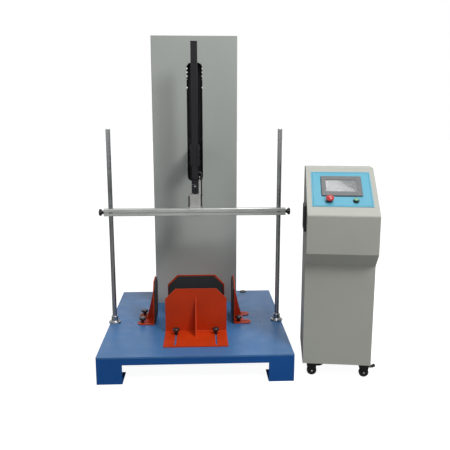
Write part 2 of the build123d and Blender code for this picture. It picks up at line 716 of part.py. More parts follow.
def slot_arm():
    """Box arm through the column slot, with a rear flange and a front clamp that wraps round the pull bar."""
    pocket_half = BAR_SIZE / 2 + SLIDE_GAP
    pocket_back = bar_back + SLIDE_GAP
    pocket_front = BAR_Y - pocket_half
    clamp_half = pocket_half + BAR_CLAMP_CHEEK
    clamp_back = pocket_back + BAR_CLAMP_BACK
    clamp_front = pocket_front - BAR_CLAMP_FRONT
    low = CARRIAGE_Z - BAR_CLAMP_HEIGHT / 2
    high = CARRIAGE_Z + BAR_CLAMP_HEIGHT / 2
    clamp = block(-clamp_half, clamp_half, clamp_front, clamp_back, low, high)
    clamp = fillet(clamp.edges().filter_by(Axis.Z), BAR_CLAMP_RADIUS)
    clamp -= block(-pocket_half, pocket_half, pocket_front, pocket_back, low, high)
    mouth = pocket_half - BAR_CLAMP_LIP
    clamp -= block(-mouth, mouth, clamp_front, pocket_front, low, high)
    flange_front = plate_front - ARM_FLANGE
    half = ARM_WIDTH / 2
    arm_low = CARRIAGE_Z - ARM_HEIGHT / 2
    arm_high = CARRIAGE_Z + ARM_HEIGHT / 2
    tube = block(-half, half, clamp_back, flange_front, arm_low, arm_high)
    tube = fillet(tube.edges().filter_by(Axis.Y), ARM_RADIUS)
    wall = ARM_WALL
    tube -= block(wall - half, half - wall, clamp_back, flange_front, arm_low + wall, arm_high - wall)
    flange_half = CARRIAGE_WIDTH / 2 - ARM_FLANGE_INSET
    flange_low = arm_low - ARM_FLANGE_MARGIN
    flange_high = arm_high + ARM_FLANGE_MARGIN
    flange = block(-flange_half, flange_half, flange_front, plate_front, flange_low, flange_high)
    flange = fillet(flange.edges().filter_by(Axis.Y), CARRIAGE_RADIUS)
    return clamp + tube + flange


# Pull bar and gripper
def pull_bar():
    """Square tube, closed at both ends, with a lug at its foot for the steady rod."""
    half = BAR_SIZE / 2
    bar = block(-half, half, BAR_Y - half, BAR_Y + half, BAR_BOTTOM, bar_top)
    bar = fillet(bar.edges().filter_by(Axis.Z), BAR_RADIUS)
    inner = half - BAR_WALL
    bar -= block(-inner, inner, BAR_Y - inner, BAR_Y + inner, BAR_BOTTOM + BAR_FOOT, bar_top - BAR_CAP)
    lug_y = LUG_WIDTH / 2
    lug_end = STEADY_ROD_X + LUG_END
    lug_top = BAR_BOTTOM + BAR_FOOT
    lug = block(half - LUG_ROOT, lug_end, BAR_Y - lug_y, BAR_Y + lug_y, BAR_BOTTOM, lug_top)
    lug = fillet(lug.edges().filter_by(Axis.Z).group_by(Axis.X)[-1], LUG_RADIUS)
    return bar + lug - rod_z(STEADY_ROD + 2 * RUN_GAP, STEADY_ROD_X, BAR_Y, BAR_BOTTOM, lug_top)


def load_cell():
    """S-beam load cell: two opposed cuts leave an S, with a stud at each end."""
    half = LOAD_CELL_WIDTH / 2
    low = GRIPPER_TOP + LOAD_CELL_GAP
    high = BAR_BOTTOM - LOAD_CELL_GAP
    y0 = BAR_Y - LOAD_CELL_DEPTH / 2
    y1 = BAR_Y + LOAD_CELL_DEPTH / 2
    cell = block(-half, half, y0, y1, low, high)
    cell = fillet(cell.edges().filter_by(Axis.Y), LOAD_CELL_RADIUS)
    third = (high - low) / 3
    cut = LOAD_CELL_CUT
    cell -= block(-half, half - LOAD_CELL_LIGAMENT, y0, y1, high - third - cut, high - third)
    cell -= block(LOAD_CELL_LIGAMENT - half, half, y0, y1, low + third, low + third + cut)
    cell -= rod_y(third / 2, 0, y0, y1, (low + high) / 2)
    cell += rod_z(LOAD_CELL_STUD, 0, BAR_Y, GRIPPER_TOP, low)
    return cell + rod_z(LOAD_CELL_STUD, 0, BAR_Y, high, BAR_BOTTOM)


def jaw_rods():
    """The places of the two rods that the jaws run on."""
    return [(side * JAW_ROD_SPACING / 2, GRIPPER_BOTTOM - JAW_ROD_DROP) for side in (-1, 1)]


def gripper_yoke():
    """Air gripper body, the jaw rail below it with flared ends and rods, and the steady rod above it."""
    half = GRIPPER_WIDTH / 2
    front = BAR_Y - GRIPPER_DEPTH / 2
    body = block(-half, half, front, BAR_Y + GRIPPER_DEPTH / 2, GRIPPER_BOTTOM, GRIPPER_TOP)
    body = fillet(body.edges().filter_by(Axis.Y).group_by(Axis.Z)[-1], GRIPPER_RADIUS)
    groove = Box(GRIPPER_GROOVE_LENGTH, 2 * GRIPPER_GROOVE_DEPTH, GRIPPER_GROOVE)
    body -= Pos(0, front, (GRIPPER_BOTTOM + GRIPPER_TOP) / 2) * groove
    hole_x = GRIPPER_HOLE_SPACING / 2
    hole_z = GRIPPER_BOTTOM + GRIPPER_HOLE_RISE
    for side in (-1, 1):
        body -= rod_y(GRIPPER_HOLE, side * hole_x, front, front + GRIPPER_HOLE_DEPTH, hole_z)
    body += rod_y(GRIPPER_PLUG, 0, front - GRIPPER_PLUG_PROUD, front, hole_z)
    rail_half = JAW_RAIL_WIDTH / 2
    rail_in = rail_half - JAW_RAIL_INSET
    rail_front = BAR_Y - JAW_RAIL_DEPTH / 2
    rail_back = BAR_Y + JAW_RAIL_DEPTH / 2
    rail = block(-rail_in, rail_in, rail_front, rail_back, GRIPPER_BOTTOM - JAW_RAIL_PLATE, GRIPPER_BOTTOM)
    flare_low = GRIPPER_BOTTOM - JAW_FLARE_DROP
    end_low = GRIPPER_BOTTOM - JAW_END_DROP
    end_half = rail_half - JAW_FLARE_INSET
    flare = Polyline(
        (-rail_in, GRIPPER_BOTTOM),
        (rail_in, GRIPPER_BOTTOM),
        (rail_half, flare_low),
        (end_half, end_low),
        (-end_half, end_low),
        (-rail_half, flare_low),
        close=True,
    )
    end_plate = extrude(Plane.XZ * make_face(flare), amount=-JAW_END_PLATE)
    rail += Pos(0, rail_front, 0) * end_plate
    rail += Pos(0, rail_back - JAW_END_PLATE, 0) * end_plate
    for x, z in jaw_rods():
        rail += rod_y(JAW_ROD, x, rail_front, rail_back, z)
    steady = rod_z(STEADY_ROD, STEADY_ROD_X, BAR_Y, GRIPPER_TOP, BAR_BOTTOM + STEADY_ROD_PROUD)
    return body + rail + steady


def gripper_cheeks():
    half = GRIPPER_WIDTH / 2
    depth = GRIPPER_DEPTH / 2 - CHEEK_INSET
    cheeks = []
    for side in (-1, 1):
        x0, x1 = sorted((side * half, side * (half + CHEEK_SHEET)))
        cheek = block(x0, x1, BAR_Y - depth, BAR_Y + depth, CHEEK_BOTTOM, CHEEK_TOP)
        outer = cheek.edges().filter_by(Axis.Y).sort_by(lambda e: side * e.center().X)[-2:]
        cheeks.append(chamfer(outer, CHEEK_CHAMFER))
    return group(*cheeks)


def air_hose():
    """Hose from the right cheek up beside the load cell and into the pull bar, with its two fittings."""
    start = (HOSE_X, BAR_Y, CHEEK_TOP + HOSE_FITTING)
    end = (BAR_SIZE / 2 + HOSE_PORT, BAR_Y, HOSE_TOP)
    path = FilletPolyline(start, (HOSE_X, BAR_Y, HOSE_TOP), end, radius=HOSE_BEND)
    hose = sweep(Plane(origin=start, z_dir=(0, 0, 1)) * Circle(HOSE_DIAMETER / 2), path=path)
    lower = rod_z(HOSE_FITTING_DIAMETER, HOSE_X, BAR_Y, CHEEK_TOP, CHEEK_TOP + HOSE_FITTING)
    upper = rod_x(HOSE_FITTING_DIAMETER, BAR_SIZE / 2, BAR_SIZE / 2 + HOSE_PORT, BAR_Y, HOSE_TOP)
    return group(hose, lower, upper)


def jaw(side):
    """One jaw: a plate with a toothed face that hangs from the two rods. side -1 is the front jaw."""
    inner = BAR_Y + side * JAW_OPENING / 2
    y0, y1 = sorted((inner, inner + side * JAW_THICKNESS))
    half = JAW_WIDTH / 2
    top = GRIPPER_BOTTOM - JAW_RAIL_PLATE - SLIDE_GAP
    bottom = GRIPPER_BOTTOM - JAW_FINGER_DROP
    piece = block(-half, half, y0, y1, bottom, top)
    piece = chamfer(piece.edges().filter_by(Axis.Y), JAW_CHAMFER)
    tooth_cut = Rot(45, 0, 0) * Box(JAW_WIDTH, JAW_TOOTH, JAW_TOOTH)
    for tooth in range(JAW_TEETH):
        piece -= Pos(0, inner, bottom + JAW_TOOTH_START + JAW_TOOTH_PITCH * tooth) * tooth_cut
    for x, z in jaw_rods():
        piece -= rod_y(JAW_ROD + 2 * RUN_GAP, x, y0, y1, z)
    return piece


# Posts and crossbar
def posts():
    pair = [rod_z(POST_DIAMETER, side * post_x, POST_Y, deck_z, POST_TOP) for side in (-1, 1)]
    return group(*[chamfer(post.edges().group_by(Axis.Z)[-1], POST_CHAMFER) for post in pair])


def post_flange(x):
    """Round foot flange with a collar and screw holes."""
    bore = POST_DIAMETER / 2 + RUN_GAP
    collar = FLANGE_COLLAR_DIAMETER / 2
    rim = FLANGE_DIAMETER / 2
    outline = Polyline(
        (bore, 0),
        (rim, 0),
        (rim, FLANGE_PLATE - FLANGE_EDGE),
        (rim - FLANGE_EDGE, FLANGE_PLATE),
        (collar + FLANGE_ROOT, FLANGE_PLATE),
        (collar, FLANGE_PLATE + FLANGE_ROOT),
        (collar, FLANGE_HEIGHT - FLANGE_COLLAR_EDGE),
        (collar - FLANGE_COLLAR_EDGE, FLANGE_HEIGHT),
        (bore, FLANGE_HEIGHT),
        close=True,
    )
    ring = revolve(Plane.XZ * make_face(outline), Axis.Z)
    turn = 360 / FLANGE_BOLTS
    hole = Pos(FLANGE_BOLT_CIRCLE / 2, 0, FLANGE_PLATE / 2) * Cylinder(FLANGE_BOLT_HOLE / 2, FLANGE_PLATE)
    ring -= [Rot(0, 0, turn * (index + 0.5)) * hole for index in range(FLANGE_BOLTS)]
    return Pos(x, POST_Y, deck_z) * ring


def post_flanges():
    return group(post_flange(-post_x), post_flange(post_x))


def slotted_section():
    """Square aluminium section with a T-slot in each face."""
    half = CROSSBAR_SECTION / 2
    section = RectangleRounded(CROSSBAR_SECTION, CROSSBAR_SECTION, CROSSBAR_EDGE)
    cavity = Polygon(
        (-SLOT_CAVITY / 2, half - SLOT_LIP),
        (SLOT_CAVITY / 2, half - SLOT_LIP),
        (SLOT_CAVITY / 2, half - SLOT_LIP - SLOT_SHOULDER),
        (SLOT_FLOOR / 2, half - SLOT_DEPTH),
        (-SLOT_FLOOR / 2, half - SLOT_DEPTH),
        (-SLOT_CAVITY / 2, half - SLOT_LIP - SLOT_SHOULDER),
        align=None,
    )
    mouth = Pos(0, half - SLOT_LIP / 2) * Rectangle(SLOT_MOUTH, SLOT_LIP)
    for turn in range(4):
        section -= Rot(0, 0, 90 * turn) * (cavity + mouth)
    return section


def crossbar():
    """Slotted bar with a bore for each post and one for each clamp knob's stud."""
    bar = extrude(Plane.YZ * slotted_section(), amount=crossbar_end, both=True)
    bar = Pos(0, POST_Y, CROSSBAR_Z) * bar
    half = CROSSBAR_SECTION / 2
    for side in (-1, 1):
        bar -= rod_z(POST_DIAMETER + 2 * RUN_GAP, side * post_x, POST_Y, CROSSBAR_Z - half, CROSSBAR_Z + half)
        x0, x1 = sorted((side * post_x, side * crossbar_end))
        bar -= rod_x(STUD_DIAMETER + 2 * RUN_GAP, x0, x1, POST_Y, CROSSBAR_Z)
    return bar


def star_knob(hub, stud):
    """A fluted star knob on +Z: stud below the seat at zero, washer, tapered hub and head above it."""
    head_low = KNOB_WASHER + hub
    head_top = head_low + KNOB_HEAD_HEIGHT
    rim = KNOB_DIAMETER / 2
    outline = Polyline(
        (0, 0),
        (KNOB_WASHER_DIAMETER / 2, 0),
        (KNOB_WASHER_DIAMETER / 2, KNOB_WASHER),
        (KNOB_HUB_FOOT / 2, KNOB_WASHER),
        (KNOB_HUB_TOP / 2, head_low),
        (rim - KNOB_EDGE, head_low),
        (rim, head_low + KNOB_EDGE),
        (rim, head_top - KNOB_CROWN),
        (rim - KNOB_CROWN, head_top),
        (0, head_top),
        close=True,
    )
    knob = revolve(Plane.XZ * make_face(outline), Axis.Z)
    flute_x = rim + KNOB_FLUTE_RADIUS / 2
    flute = Pos(flute_x, 0, (head_low + head_top) / 2) * Cylinder(KNOB_FLUTE_RADIUS, KNOB_HEAD_HEIGHT)
    knob -= [Rot(0, 0, 360 / KNOB_FLUTES * n) * flute for n in range(KNOB_FLUTES)]
    return knob + rod_z(STUD_DIAMETER, 0, 0, -stud, 0)


def crossbar_knob(side):
    """Clamp knob on the end of the crossbar. Its stud stops just short of the post."""
    end = crossbar_end + SLIDE_GAP
    stud = end - post_x - POST_DIAMETER / 2 - SLIDE_GAP
    return Pos(side * end, POST_Y, CROSSBAR_Z) * Rot(0, 90 * side, 0) * star_knob(CROSSBAR_KNOB_HUB, stud)


def bracket_knob(x, y):
    """Clamp knob through a bracket's slot into the deck."""
    stud = knob_seat_z - plate_bottom - STUD_SHORT
    return Pos(x, y, knob_seat_z) * star_knob(BRACKET_KNOB_HUB, stud)


# Clamp brackets. Local frame: x along the plate, y outward over the foot, z up from the foot's underside.
def plate_outline(width, cut, low, high):
    """The upright plate's outline, with its top corners cut off."""
    half = width / 2
    return Polygon(
        (-half, low),
        (half, low),
        (half, high - cut),
        (half - cut, high),
        (cut - half, high),
        (-half, high - cut),
        align=None,
    )


def bracket_body(width, cut, foot_length, gusset_reach):
    """Bent sheet angle with a triangular gusset in the middle."""
    sheet = BRACKET_SHEET
    angle = Polygon(
        (0, 0),
        (foot_length, 0),
        (foot_length, sheet),
        (sheet, sheet),
        (sheet, BRACKET_HEIGHT),
        (0, BRACKET_HEIGHT),
        align=None,
    )
    angle = fillet(near(angle, (0, 0)), BRACKET_BEND_RADIUS)
    angle = fillet(near(angle, (sheet, sheet)), BRACKET_BEND_RADIUS - sheet)
    body = extrude(Plane.YZ * angle, amount=width / 2, both=True)
    keep = extrude(Plane.XZ * plate_outline(width, cut, 0, BRACKET_HEIGHT), amount=-foot_length)
    root = sheet - GUSSET_ROOT
    gusset = Polygon((root, sheet), (gusset_reach, sheet), (root, GUSSET_HEIGHT), align=None)
    return (body & keep) + extrude(Plane.YZ * gusset, amount=GUSSET_SHEET / 2, both=True)


def foot_slot(x, start, length):
    """A clamp slot that runs outward through the foot."""
    width = STUD_DIAMETER + 2 * STUD_GAP
    slot = Pos(x, start + length / 2) * Rot(0, 0, 90) * SlotOverall(length, width)
    return extrude(slot, amount=BRACKET_SHEET)


def wide_bracket():
    body = bracket_body(WIDE_BRACKET_WIDTH, WIDE_BRACKET_CHAMFER, WIDE_FOOT_LENGTH, WIDE_GUSSET_REACH)
    for side in (-1, 1):
        body -= foot_slot(side * wide_clamp_x, WIDE_SLOT_START, WIDE_SLOT_LENGTH)
    return body


def side_bracket():
    """The narrower bracket, whose foot is a fork of two round-ended tongues."""
    body = bracket_body(SIDE_BRACKET_WIDTH, SIDE_BRACKET_CHAMFER, SIDE_FOOT_LENGTH, SIDE_GUSSET_REACH)
    gap = SIDE_BRACKET_WIDTH - 2 * SIDE_TONGUE_WIDTH
    gap_start = SIDE_GUSSET_REACH + SIDE_FORK_MARGIN
    body -= block(-gap / 2, gap / 2, gap_start, SIDE_FOOT_LENGTH, 0, BRACKET_SHEET)
    corners = body.edges().filter_by(Axis.Z).group_by(Axis.Y)[-1]
    body = fillet(corners, (SIDE_TONGUE_WIDTH - SIDE_TONGUE_FLAT) / 2)
    for side in (-1, 1):
        body -= foot_slot(side * side_clamp_y, SIDE_SLOT_START, SIDE_SLOT_LENGTH)
    return body


def bracket_pad(width, cut):
    """Rubber pad on the upright plate's inner face."""
    low = BRACKET_BEND_RADIUS + PAD_MARGIN
    outline = plate_outline(width - 2 * PAD_MARGIN, cut, low, BRACKET_HEIGHT - PAD_MARGIN)
    return extrude(Plane.XZ * outline, amount=PAD_THICKNESS)


bracket_places = {
    "front": Pos(0, FRONT_BRACKET_Y, bracket_z) * Rot(0, 0, 180),
    "rear": Pos(0, rear_bracket_y, bracket_z),
    "right": Pos(right_clamp_x - RIGHT_STUD_PLACE, 0, bracket_z) * Rot(0, 0, -90),
    "left": Pos(left_clamp_x + LEFT_STUD_PLACE, 0, bracket_z) * Rot(0, 0, 90),
}
knob_places = {
    "front_left": (-wide_clamp_x, front_clamp_ys[0]),
    "front_right": (wide_clamp_x, front_clamp_ys[0]),
    "rear_left": (-wide_clamp_x, rear_clamp_ys[0]),
    "rear_right": (wide_clamp_x, rear_clamp_ys[0]),
    "left_front": (left_clamp_x, -side_clamp_y),
    "left_rear": (left_clamp_x, side_clamp_y),
    "right_front": (right_clamp_x, -side_clamp_y),
    "right_rear": (right_clamp_x, side_clamp_y),
}


# Console. Local frame: x along its width, y from the lower front face to the back, z up from the floor.
def console_outline(inset):
    """Side profile of the cabinet, drawn in from the outside by the sheet's thickness."""
    points = (
        (0, CONSOLE_FLOOR),
        (0, CONSOLE_KNEE),
        (-CONSOLE_OVERHANG, CONSOLE_CHIN),
        (-CONSOLE_OVERHANG, CONSOLE_LIP),
        (CONSOLE_DEPTH - CONSOLE_LEDGE, CONSOLE_TOP),
        (CONSOLE_DEPTH, CONSOLE_TOP),
        (CONSOLE_DEPTH, CONSOLE_FLOOR),
    )
    outline = Polygon(*points, align=None)
    outline = fillet(near(outline, points[3], points[4]), CONSOLE_LIP_RADIUS)
    outline = fillet(near(outline, points[1], points[2], points[5]), CONSOLE_EDGE_RADIUS)
    return offset(outline, -inset) if inset else outline


def on_panel(shape):
    """Places a shape drawn on the sloped panel, with x across it and y up the slope."""
    return panel_plane * shape


def console_shell():
    """Two side plates with one sheet folded round between them, a rear opening and four caster plates."""
    half = CONSOLE_WIDTH / 2
    sheet = CONSOLE_SHEET
    wrap = extrude(Plane.YZ * (console_outline(0) - console_outline(sheet)), amount=half - sheet, both=True)
    margin = REAR_OPENING_MARGIN
    opening_half = half - margin
    opening_low = CONSOLE_FLOOR + margin
    opening_high = CONSOLE_TOP - margin
    inside = CONSOLE_DEPTH - sheet
    wrap -= block(-opening_half, opening_half, inside, CONSOLE_DEPTH, opening_low, opening_high)
    wrap -= on_panel(Pos(0, HMI_CENTRE, 0) * hmi_cutout(4 * sheet))
    for x, s in switch_places:
        wrap -= on_panel(Pos(x, s, 0) * Cylinder(SWITCH_HOLE / 2, 4 * sheet))
    plates = []
    plate = Box(CASTER_PLATE_SIZE, CASTER_PLATE_SIZE, CASTER_PLATE)
    plate -= Cylinder(KINGPIN / 2 + RUN_GAP, CASTER_PLATE)
    for x, y in caster_places:
        wrap -= rod_z(KINGPIN + 2 * RUN_GAP, x, y, CONSOLE_FLOOR, CONSOLE_FLOOR + sheet)
        plates.append(Pos(x, y, CONSOLE_FLOOR - CASTER_PLATE / 2) * plate)
    side = extrude(Plane.YZ * console_outline(0), amount=sheet / 2, both=True)
    right = Pos(half - sheet / 2, 0, 0) * side
    left = Pos(sheet / 2 - half, 0, 0) * side
    fan_hole = FAN_SIZE / 2 - FAN_BORDER - FAN_HOLE_MARGIN
    left -= rod_x(2 * fan_hole, -half, sheet - half, FAN_V, FAN_Z)
    return group(wrap, left, right, *plates)


def console_rear_panel():
    half = CONSOLE_WIDTH / 2 - REAR_PANEL_MARGIN
    low = CONSOLE_FLOOR + REAR_PANEL_MARGIN
    high = CONSOLE_TOP - REAR_PANEL_MARGIN
    panel = block(-half, half, CONSOLE_DEPTH, CONSOLE_DEPTH + REAR_PANEL_SHEET, low, high)
    panel = fillet(panel.edges().filter_by(Axis.Y), REAR_PANEL_RADIUS)
    start = high - LOUVRE_PITCH * (LOUVRE_COUNT + 2)
    panel -= louvres(0, CONSOLE_DEPTH, CONSOLE_DEPTH + REAR_PANEL_SHEET, start, LOUVRE_COUNT)
    return panel


def hmi_cutout(depth):
    """The room that the screen unit's body needs in a sheet."""
    return Box(HMI_BODY_WIDTH + 2 * HMI_BODY_GAP, HMI_BODY_HEIGHT + 2 * HMI_BODY_GAP, depth)


def control_panel():
    """Flat panel plate on the slope, cut out for the screen unit and the two switches."""
    centre = PANEL_START + PANEL_LENGTH / 2
    sheet = PANEL_SHEET
    plate = Pos(0, centre, sheet / 2) * Box(PANEL_WIDTH, PANEL_LENGTH, sheet)
    plate = fillet(plate.edges().filter_by(Axis.Z), PANEL_RADIUS)
    plate -= Pos(0, HMI_CENTRE, sheet / 2) * hmi_cutout(sheet)
    for x, s in switch_places:
        plate -= Pos(x, s, sheet / 2) * Cylinder(SWITCH_HOLE / 2, sheet)
    return on_panel(plate)


def hmi_frame():
    """Touch screen unit: bezel on the panel, body behind it and a recess for the glass."""
    bezel = Pos(0, 0, PANEL_SHEET + HMI_PROUD / 2) * Box(HMI_WIDTH, HMI_HEIGHT, HMI_PROUD)
    bezel = fillet(bezel.edges().filter_by(Axis.Z), HMI_RADIUS)
    bezel = chamfer(bezel.edges().group_by(Axis.Z)[-1], HMI_CHAMFER)
    body = Pos(0, 0, PANEL_SHEET - HMI_BODY_DEPTH / 2) * Box(HMI_BODY_WIDTH, HMI_BODY_HEIGHT, HMI_BODY_DEPTH)
    depth = SCREEN_RECESS + SCREEN_GLASS
    recess = Pos(0, 0, PANEL_SHEET + HMI_PROUD - depth / 2) * Box(SCREEN_WIDTH, SCREEN_HEIGHT, depth)
    return on_panel(Pos(0, HMI_CENTRE, 0) * (bezel + body - recess))


def hmi_screen():
    top = PANEL_SHEET + HMI_PROUD - SCREEN_RECESS
    glass = Box(SCREEN_WIDTH, SCREEN_HEIGHT, SCREEN_GLASS)
    return on_panel(Pos(0, HMI_CENTRE, top - SCREEN_GLASS / 2) * glass)


def switch_collar(x, s, bore):
    """Round collar on the panel with the switch body behind it, bored for the button's stem."""
    collar = Pos(0, 0, PANEL_SHEET + COLLAR_HEIGHT / 2) * Cylinder(COLLAR_DIAMETER / 2, COLLAR_HEIGHT)
    collar = chamfer(collar.edges().group_by(Axis.Z)[-1], COLLAR_CHAMFER)
    body_radius = SWITCH_HOLE / 2 - SWITCH_HOLE_GAP
    body = Pos(0, 0, PANEL_SHEET - SWITCH_BODY_DEPTH / 2) * Cylinder(body_radius, SWITCH_BODY_DEPTH)
    bore_depth = COLLAR_HEIGHT + SWITCH_BODY_DEPTH / 2
    hole = Pos(0, 0, switch_seat - bore_depth / 2) * Cylinder(bore / 2, bore_depth)
    return on_panel(Pos(x, s, 0) * (collar + body - hole))


def button_collars():
    bore = stem_diameter + 2 * RUN_GAP
    return group(*[switch_collar(x, s, bore) for x, s in switch_places])


def estop_button():
    """Mushroom head above its collar, on a stem that slides in the switch body."""
    foot = PANEL_SHEET - STEM_END
    low = switch_seat + ESTOP_TRAVEL + ESTOP_SEAT_GAP
    shoulder = low + ESTOP_SIDE
    top = shoulder + ESTOP_CROWN
    rim = ESTOP_DIAMETER / 2
    outline = Polyline(
        (0, foot),
        (stem_diameter / 2, foot),
        (stem_diameter / 2, low),
        (rim - ESTOP_EDGE, low),
        (rim, low + ESTOP_EDGE),
        (rim, shoulder),
    )
    crown_radius = (rim**2 + ESTOP_CROWN**2) / (2 * ESTOP_CROWN)
    crown = RadiusArc((rim, shoulder), (0, top), -crown_radius)
    head = revolve(Plane.XZ * make_face(outline + crown + Line((0, top), (0, foot))), Axis.Z)
    return on_panel(Pos(ESTOP_X, ESTOP_S, 0) * head)


def start_button():
    """Flat round cap that stands a little out of its collar."""
    low = switch_seat + START_TRAVEL + START_SEAT_GAP
    cap = rod_z(START_CAP, 0, 0, low, low + START_HEIGHT)
    cap = fillet(cap.edges().group_by(Axis.Z)[-1], START_EDGE)
    stem = rod_z(stem_diameter, 0, 0, PANEL_SHEET - STEM_END, low)
    return on_panel(Pos(START_X, START_S, 0) * (cap + stem))


def fan_grille():
    """Square louvred cover over the fan hole in the left wall."""
    half = FAN_SIZE / 2
    wall = -CONSOLE_WIDTH / 2
    face = wall - FAN_PROUD
    frame = block(face, wall, FAN_V - half, FAN_V + half, FAN_Z - half, FAN_Z + half)
    frame = chamfer(frame.edges().group_by(Axis.X)[0], FAN_CHAMFER)
    inner = half - FAN_BORDER
    frame -= block(face, wall, FAN_V - inner, FAN_V + inner, FAN_Z - inner, FAN_Z + inner)
    pitch = 2 * inner / FAN_SLATS
    slat = Rot(0, -FAN_SLAT_DEGREES, 0) * Box(FAN_SLAT_DEPTH, 2 * (inner + FAN_SLAT_ROOT), FAN_SLAT_SHEET)
    for index in range(FAN_SLATS):
        frame += Pos((face + wall) / 2, FAN_V, FAN_Z - inner + pitch * (index + 0.5)) * slat
    return frame


# Casters. Local frame: the swivel axis is z, the floor is z = 0 and the wheel trails towards +x.
caster_x = CONSOLE_WIDTH / 2 - CASTER_INSET_X
caster_places = [
    (-caster_x, CASTER_INSET_Y),
    (caster_x, CASTER_INSET_Y),
    (-caster_x, CONSOLE_DEPTH - CASTER_INSET_Y),
    (caster_x, CONSOLE_DEPTH - CASTER_INSET_Y),
]
caster_names = ["front_left", "front_right", "rear_left", "rear_right"]
braked_casters = caster_names[:2]
wheel_radius = WHEEL_DIAMETER / 2
fork_inner = WHEEL_WIDTH / 2 + FORK_WHEEL_GAP
fork_outer = fork_inner + FORK_SHEET
fork_top = CONSOLE_FLOOR - CASTER_PLATE - SLIDE_GAP
bridge_low = WHEEL_DIAMETER + FORK_BRIDGE_RISE
pedal_x = CASTER_TRAIL + wheel_radius - PEDAL_PIVOT_BACK
pedal_z = WHEEL_DIAMETER + PEDAL_PIVOT_RISE


def caster_fork(braked):
    """Bent fork with its kingpin, hood and axle, and on a braked caster the pedal's pivot pin."""
    head_low = fork_top - FORK_HEAD
    lug_low = wheel_radius - FORK_LUG_DROP
    nose_x = pedal_x + PEDAL_NECK
    side_view = Polygon(
        (-FORK_BACK, head_low),
        (FORK_BACK_TAPER - FORK_BACK, bridge_low - PEDAL_NECK),
        (CASTER_TRAIL - FORK_LUG, lug_low),
        (CASTER_TRAIL + FORK_LUG, lug_low),
        (nose_x, pedal_z - PEDAL_NECK_RISE),
        (nose_x, bridge_low + FORK_SHEET),
        (CASTER_TRAIL + FORK_FRONT, head_low),
        align=None,
    )
    hood = extrude(Plane.XZ * side_view, amount=fork_outer, both=True)
    inside = extrude(Plane.XZ * side_view, amount=fork_inner, both=True)
    room = block(-FORK_BACK, nose_x, -fork_outer, fork_outer, 0, bridge_low)
    fork = hood - (inside & room)
    fork += rod_z(FORK_HEAD_DIAMETER, 0, 0, head_low, fork_top)
    fork += rod_z(KINGPIN, 0, 0, fork_top, CONSOLE_FLOOR + CONSOLE_SHEET)
    axle_end = fork_outer + FORK_AXLE_END
    fork += rod_y(WHEEL_AXLE, CASTER_TRAIL, -axle_end, axle_end, wheel_radius)
    if braked:
        fork += rod_y(PEDAL_PIVOT, pedal_x, -fork_outer, fork_outer, pedal_z)
    return fork


def caster_wheel():
    """Wheel with a rounded tread, a dished side and a running fit on its axle."""
    half = WHEEL_WIDTH / 2
    bore = WHEEL_AXLE / 2 + RUN_GAP
    dish_end = wheel_radius - WHEEL_TYRE
    side = [
        (bore, half),
        (bore + WHEEL_HUB, half),
        (bore + WHEEL_HUB + WHEEL_STEP, half - WHEEL_DISH),
        (dish_end - WHEEL_STEP, half - WHEEL_DISH),
        (dish_end, half - WHEEL_TYRE_INSET),
        (wheel_radius - WHEEL_SHOULDER, half - WHEEL_TYRE_INSET),
        (wheel_radius, half - WHEEL_SHOULDER_DROP),
    ]
    outline = Polygon(*[(r, -z) for r, z in side], *reversed(side), align=None)
    wheel = revolve(Plane.XZ * outline, Axis.Z)
    return Pos(CASTER_TRAIL, 0, wheel_radius) * Rot(90, 0, 0) * wheel


def brake_pedal():
    """Foot pedal that turns on the fork's pin, with a nose above the tread and a toe that curls up."""
    sheet = PEDAL_SHEET
    neck_x = pedal_x + PEDAL_NECK
    tread_x = pedal_x + PEDAL_TREAD_START
    toe_x = pedal_x + PEDAL_LENGTH
    neck_top = pedal_z + PEDAL_NECK_RISE
    toe_top = pedal_z + PEDAL_TOE_RISE
    toe = [
        (pedal_x + PEDAL_KNEE, pedal_z + PEDAL_KNEE_RISE),
        (toe_x - PEDAL_TOE_LIP, toe_top),
        (toe_x, toe_top - PEDAL_TOE_LIP),
        (pedal_x + PEDAL_KNEE_UNDER, pedal_z + PEDAL_KNEE_RISE - sheet),
    ]
    lever = Polygon(
        (pedal_x - PEDAL_BACK, pedal_z - PEDAL_BACK_DROP),
        (pedal_x - PEDAL_BACK, pedal_z + PEDAL_BACK_RISE),
        (neck_x, neck_top),
        *toe,
        (neck_x, neck_top - sheet),
        (pedal_x + PEDAL_NOSE_BACK, pedal_z - PEDAL_NOSE_DROP),
        (pedal_x - PEDAL_NOSE_BACK, pedal_z - PEDAL_NOSE_DROP),
        align=None,
    )
    hub = extrude(Plane.XZ * lever, amount=fork_inner - SLIDE_GAP, both=True)
    tread = Polygon((tread_x, neck_top), *toe, (tread_x, neck_top - sheet), align=None)
    wide = extrude(Plane.XZ * tread, amount=PEDAL_WIDTH / 2, both=True)
    return hub + wide - rod_y(PEDAL_PIVOT + 2 * RUN_GAP, pedal_x, -PEDAL_WIDTH, PEDAL_WIDTH, pedal_z)


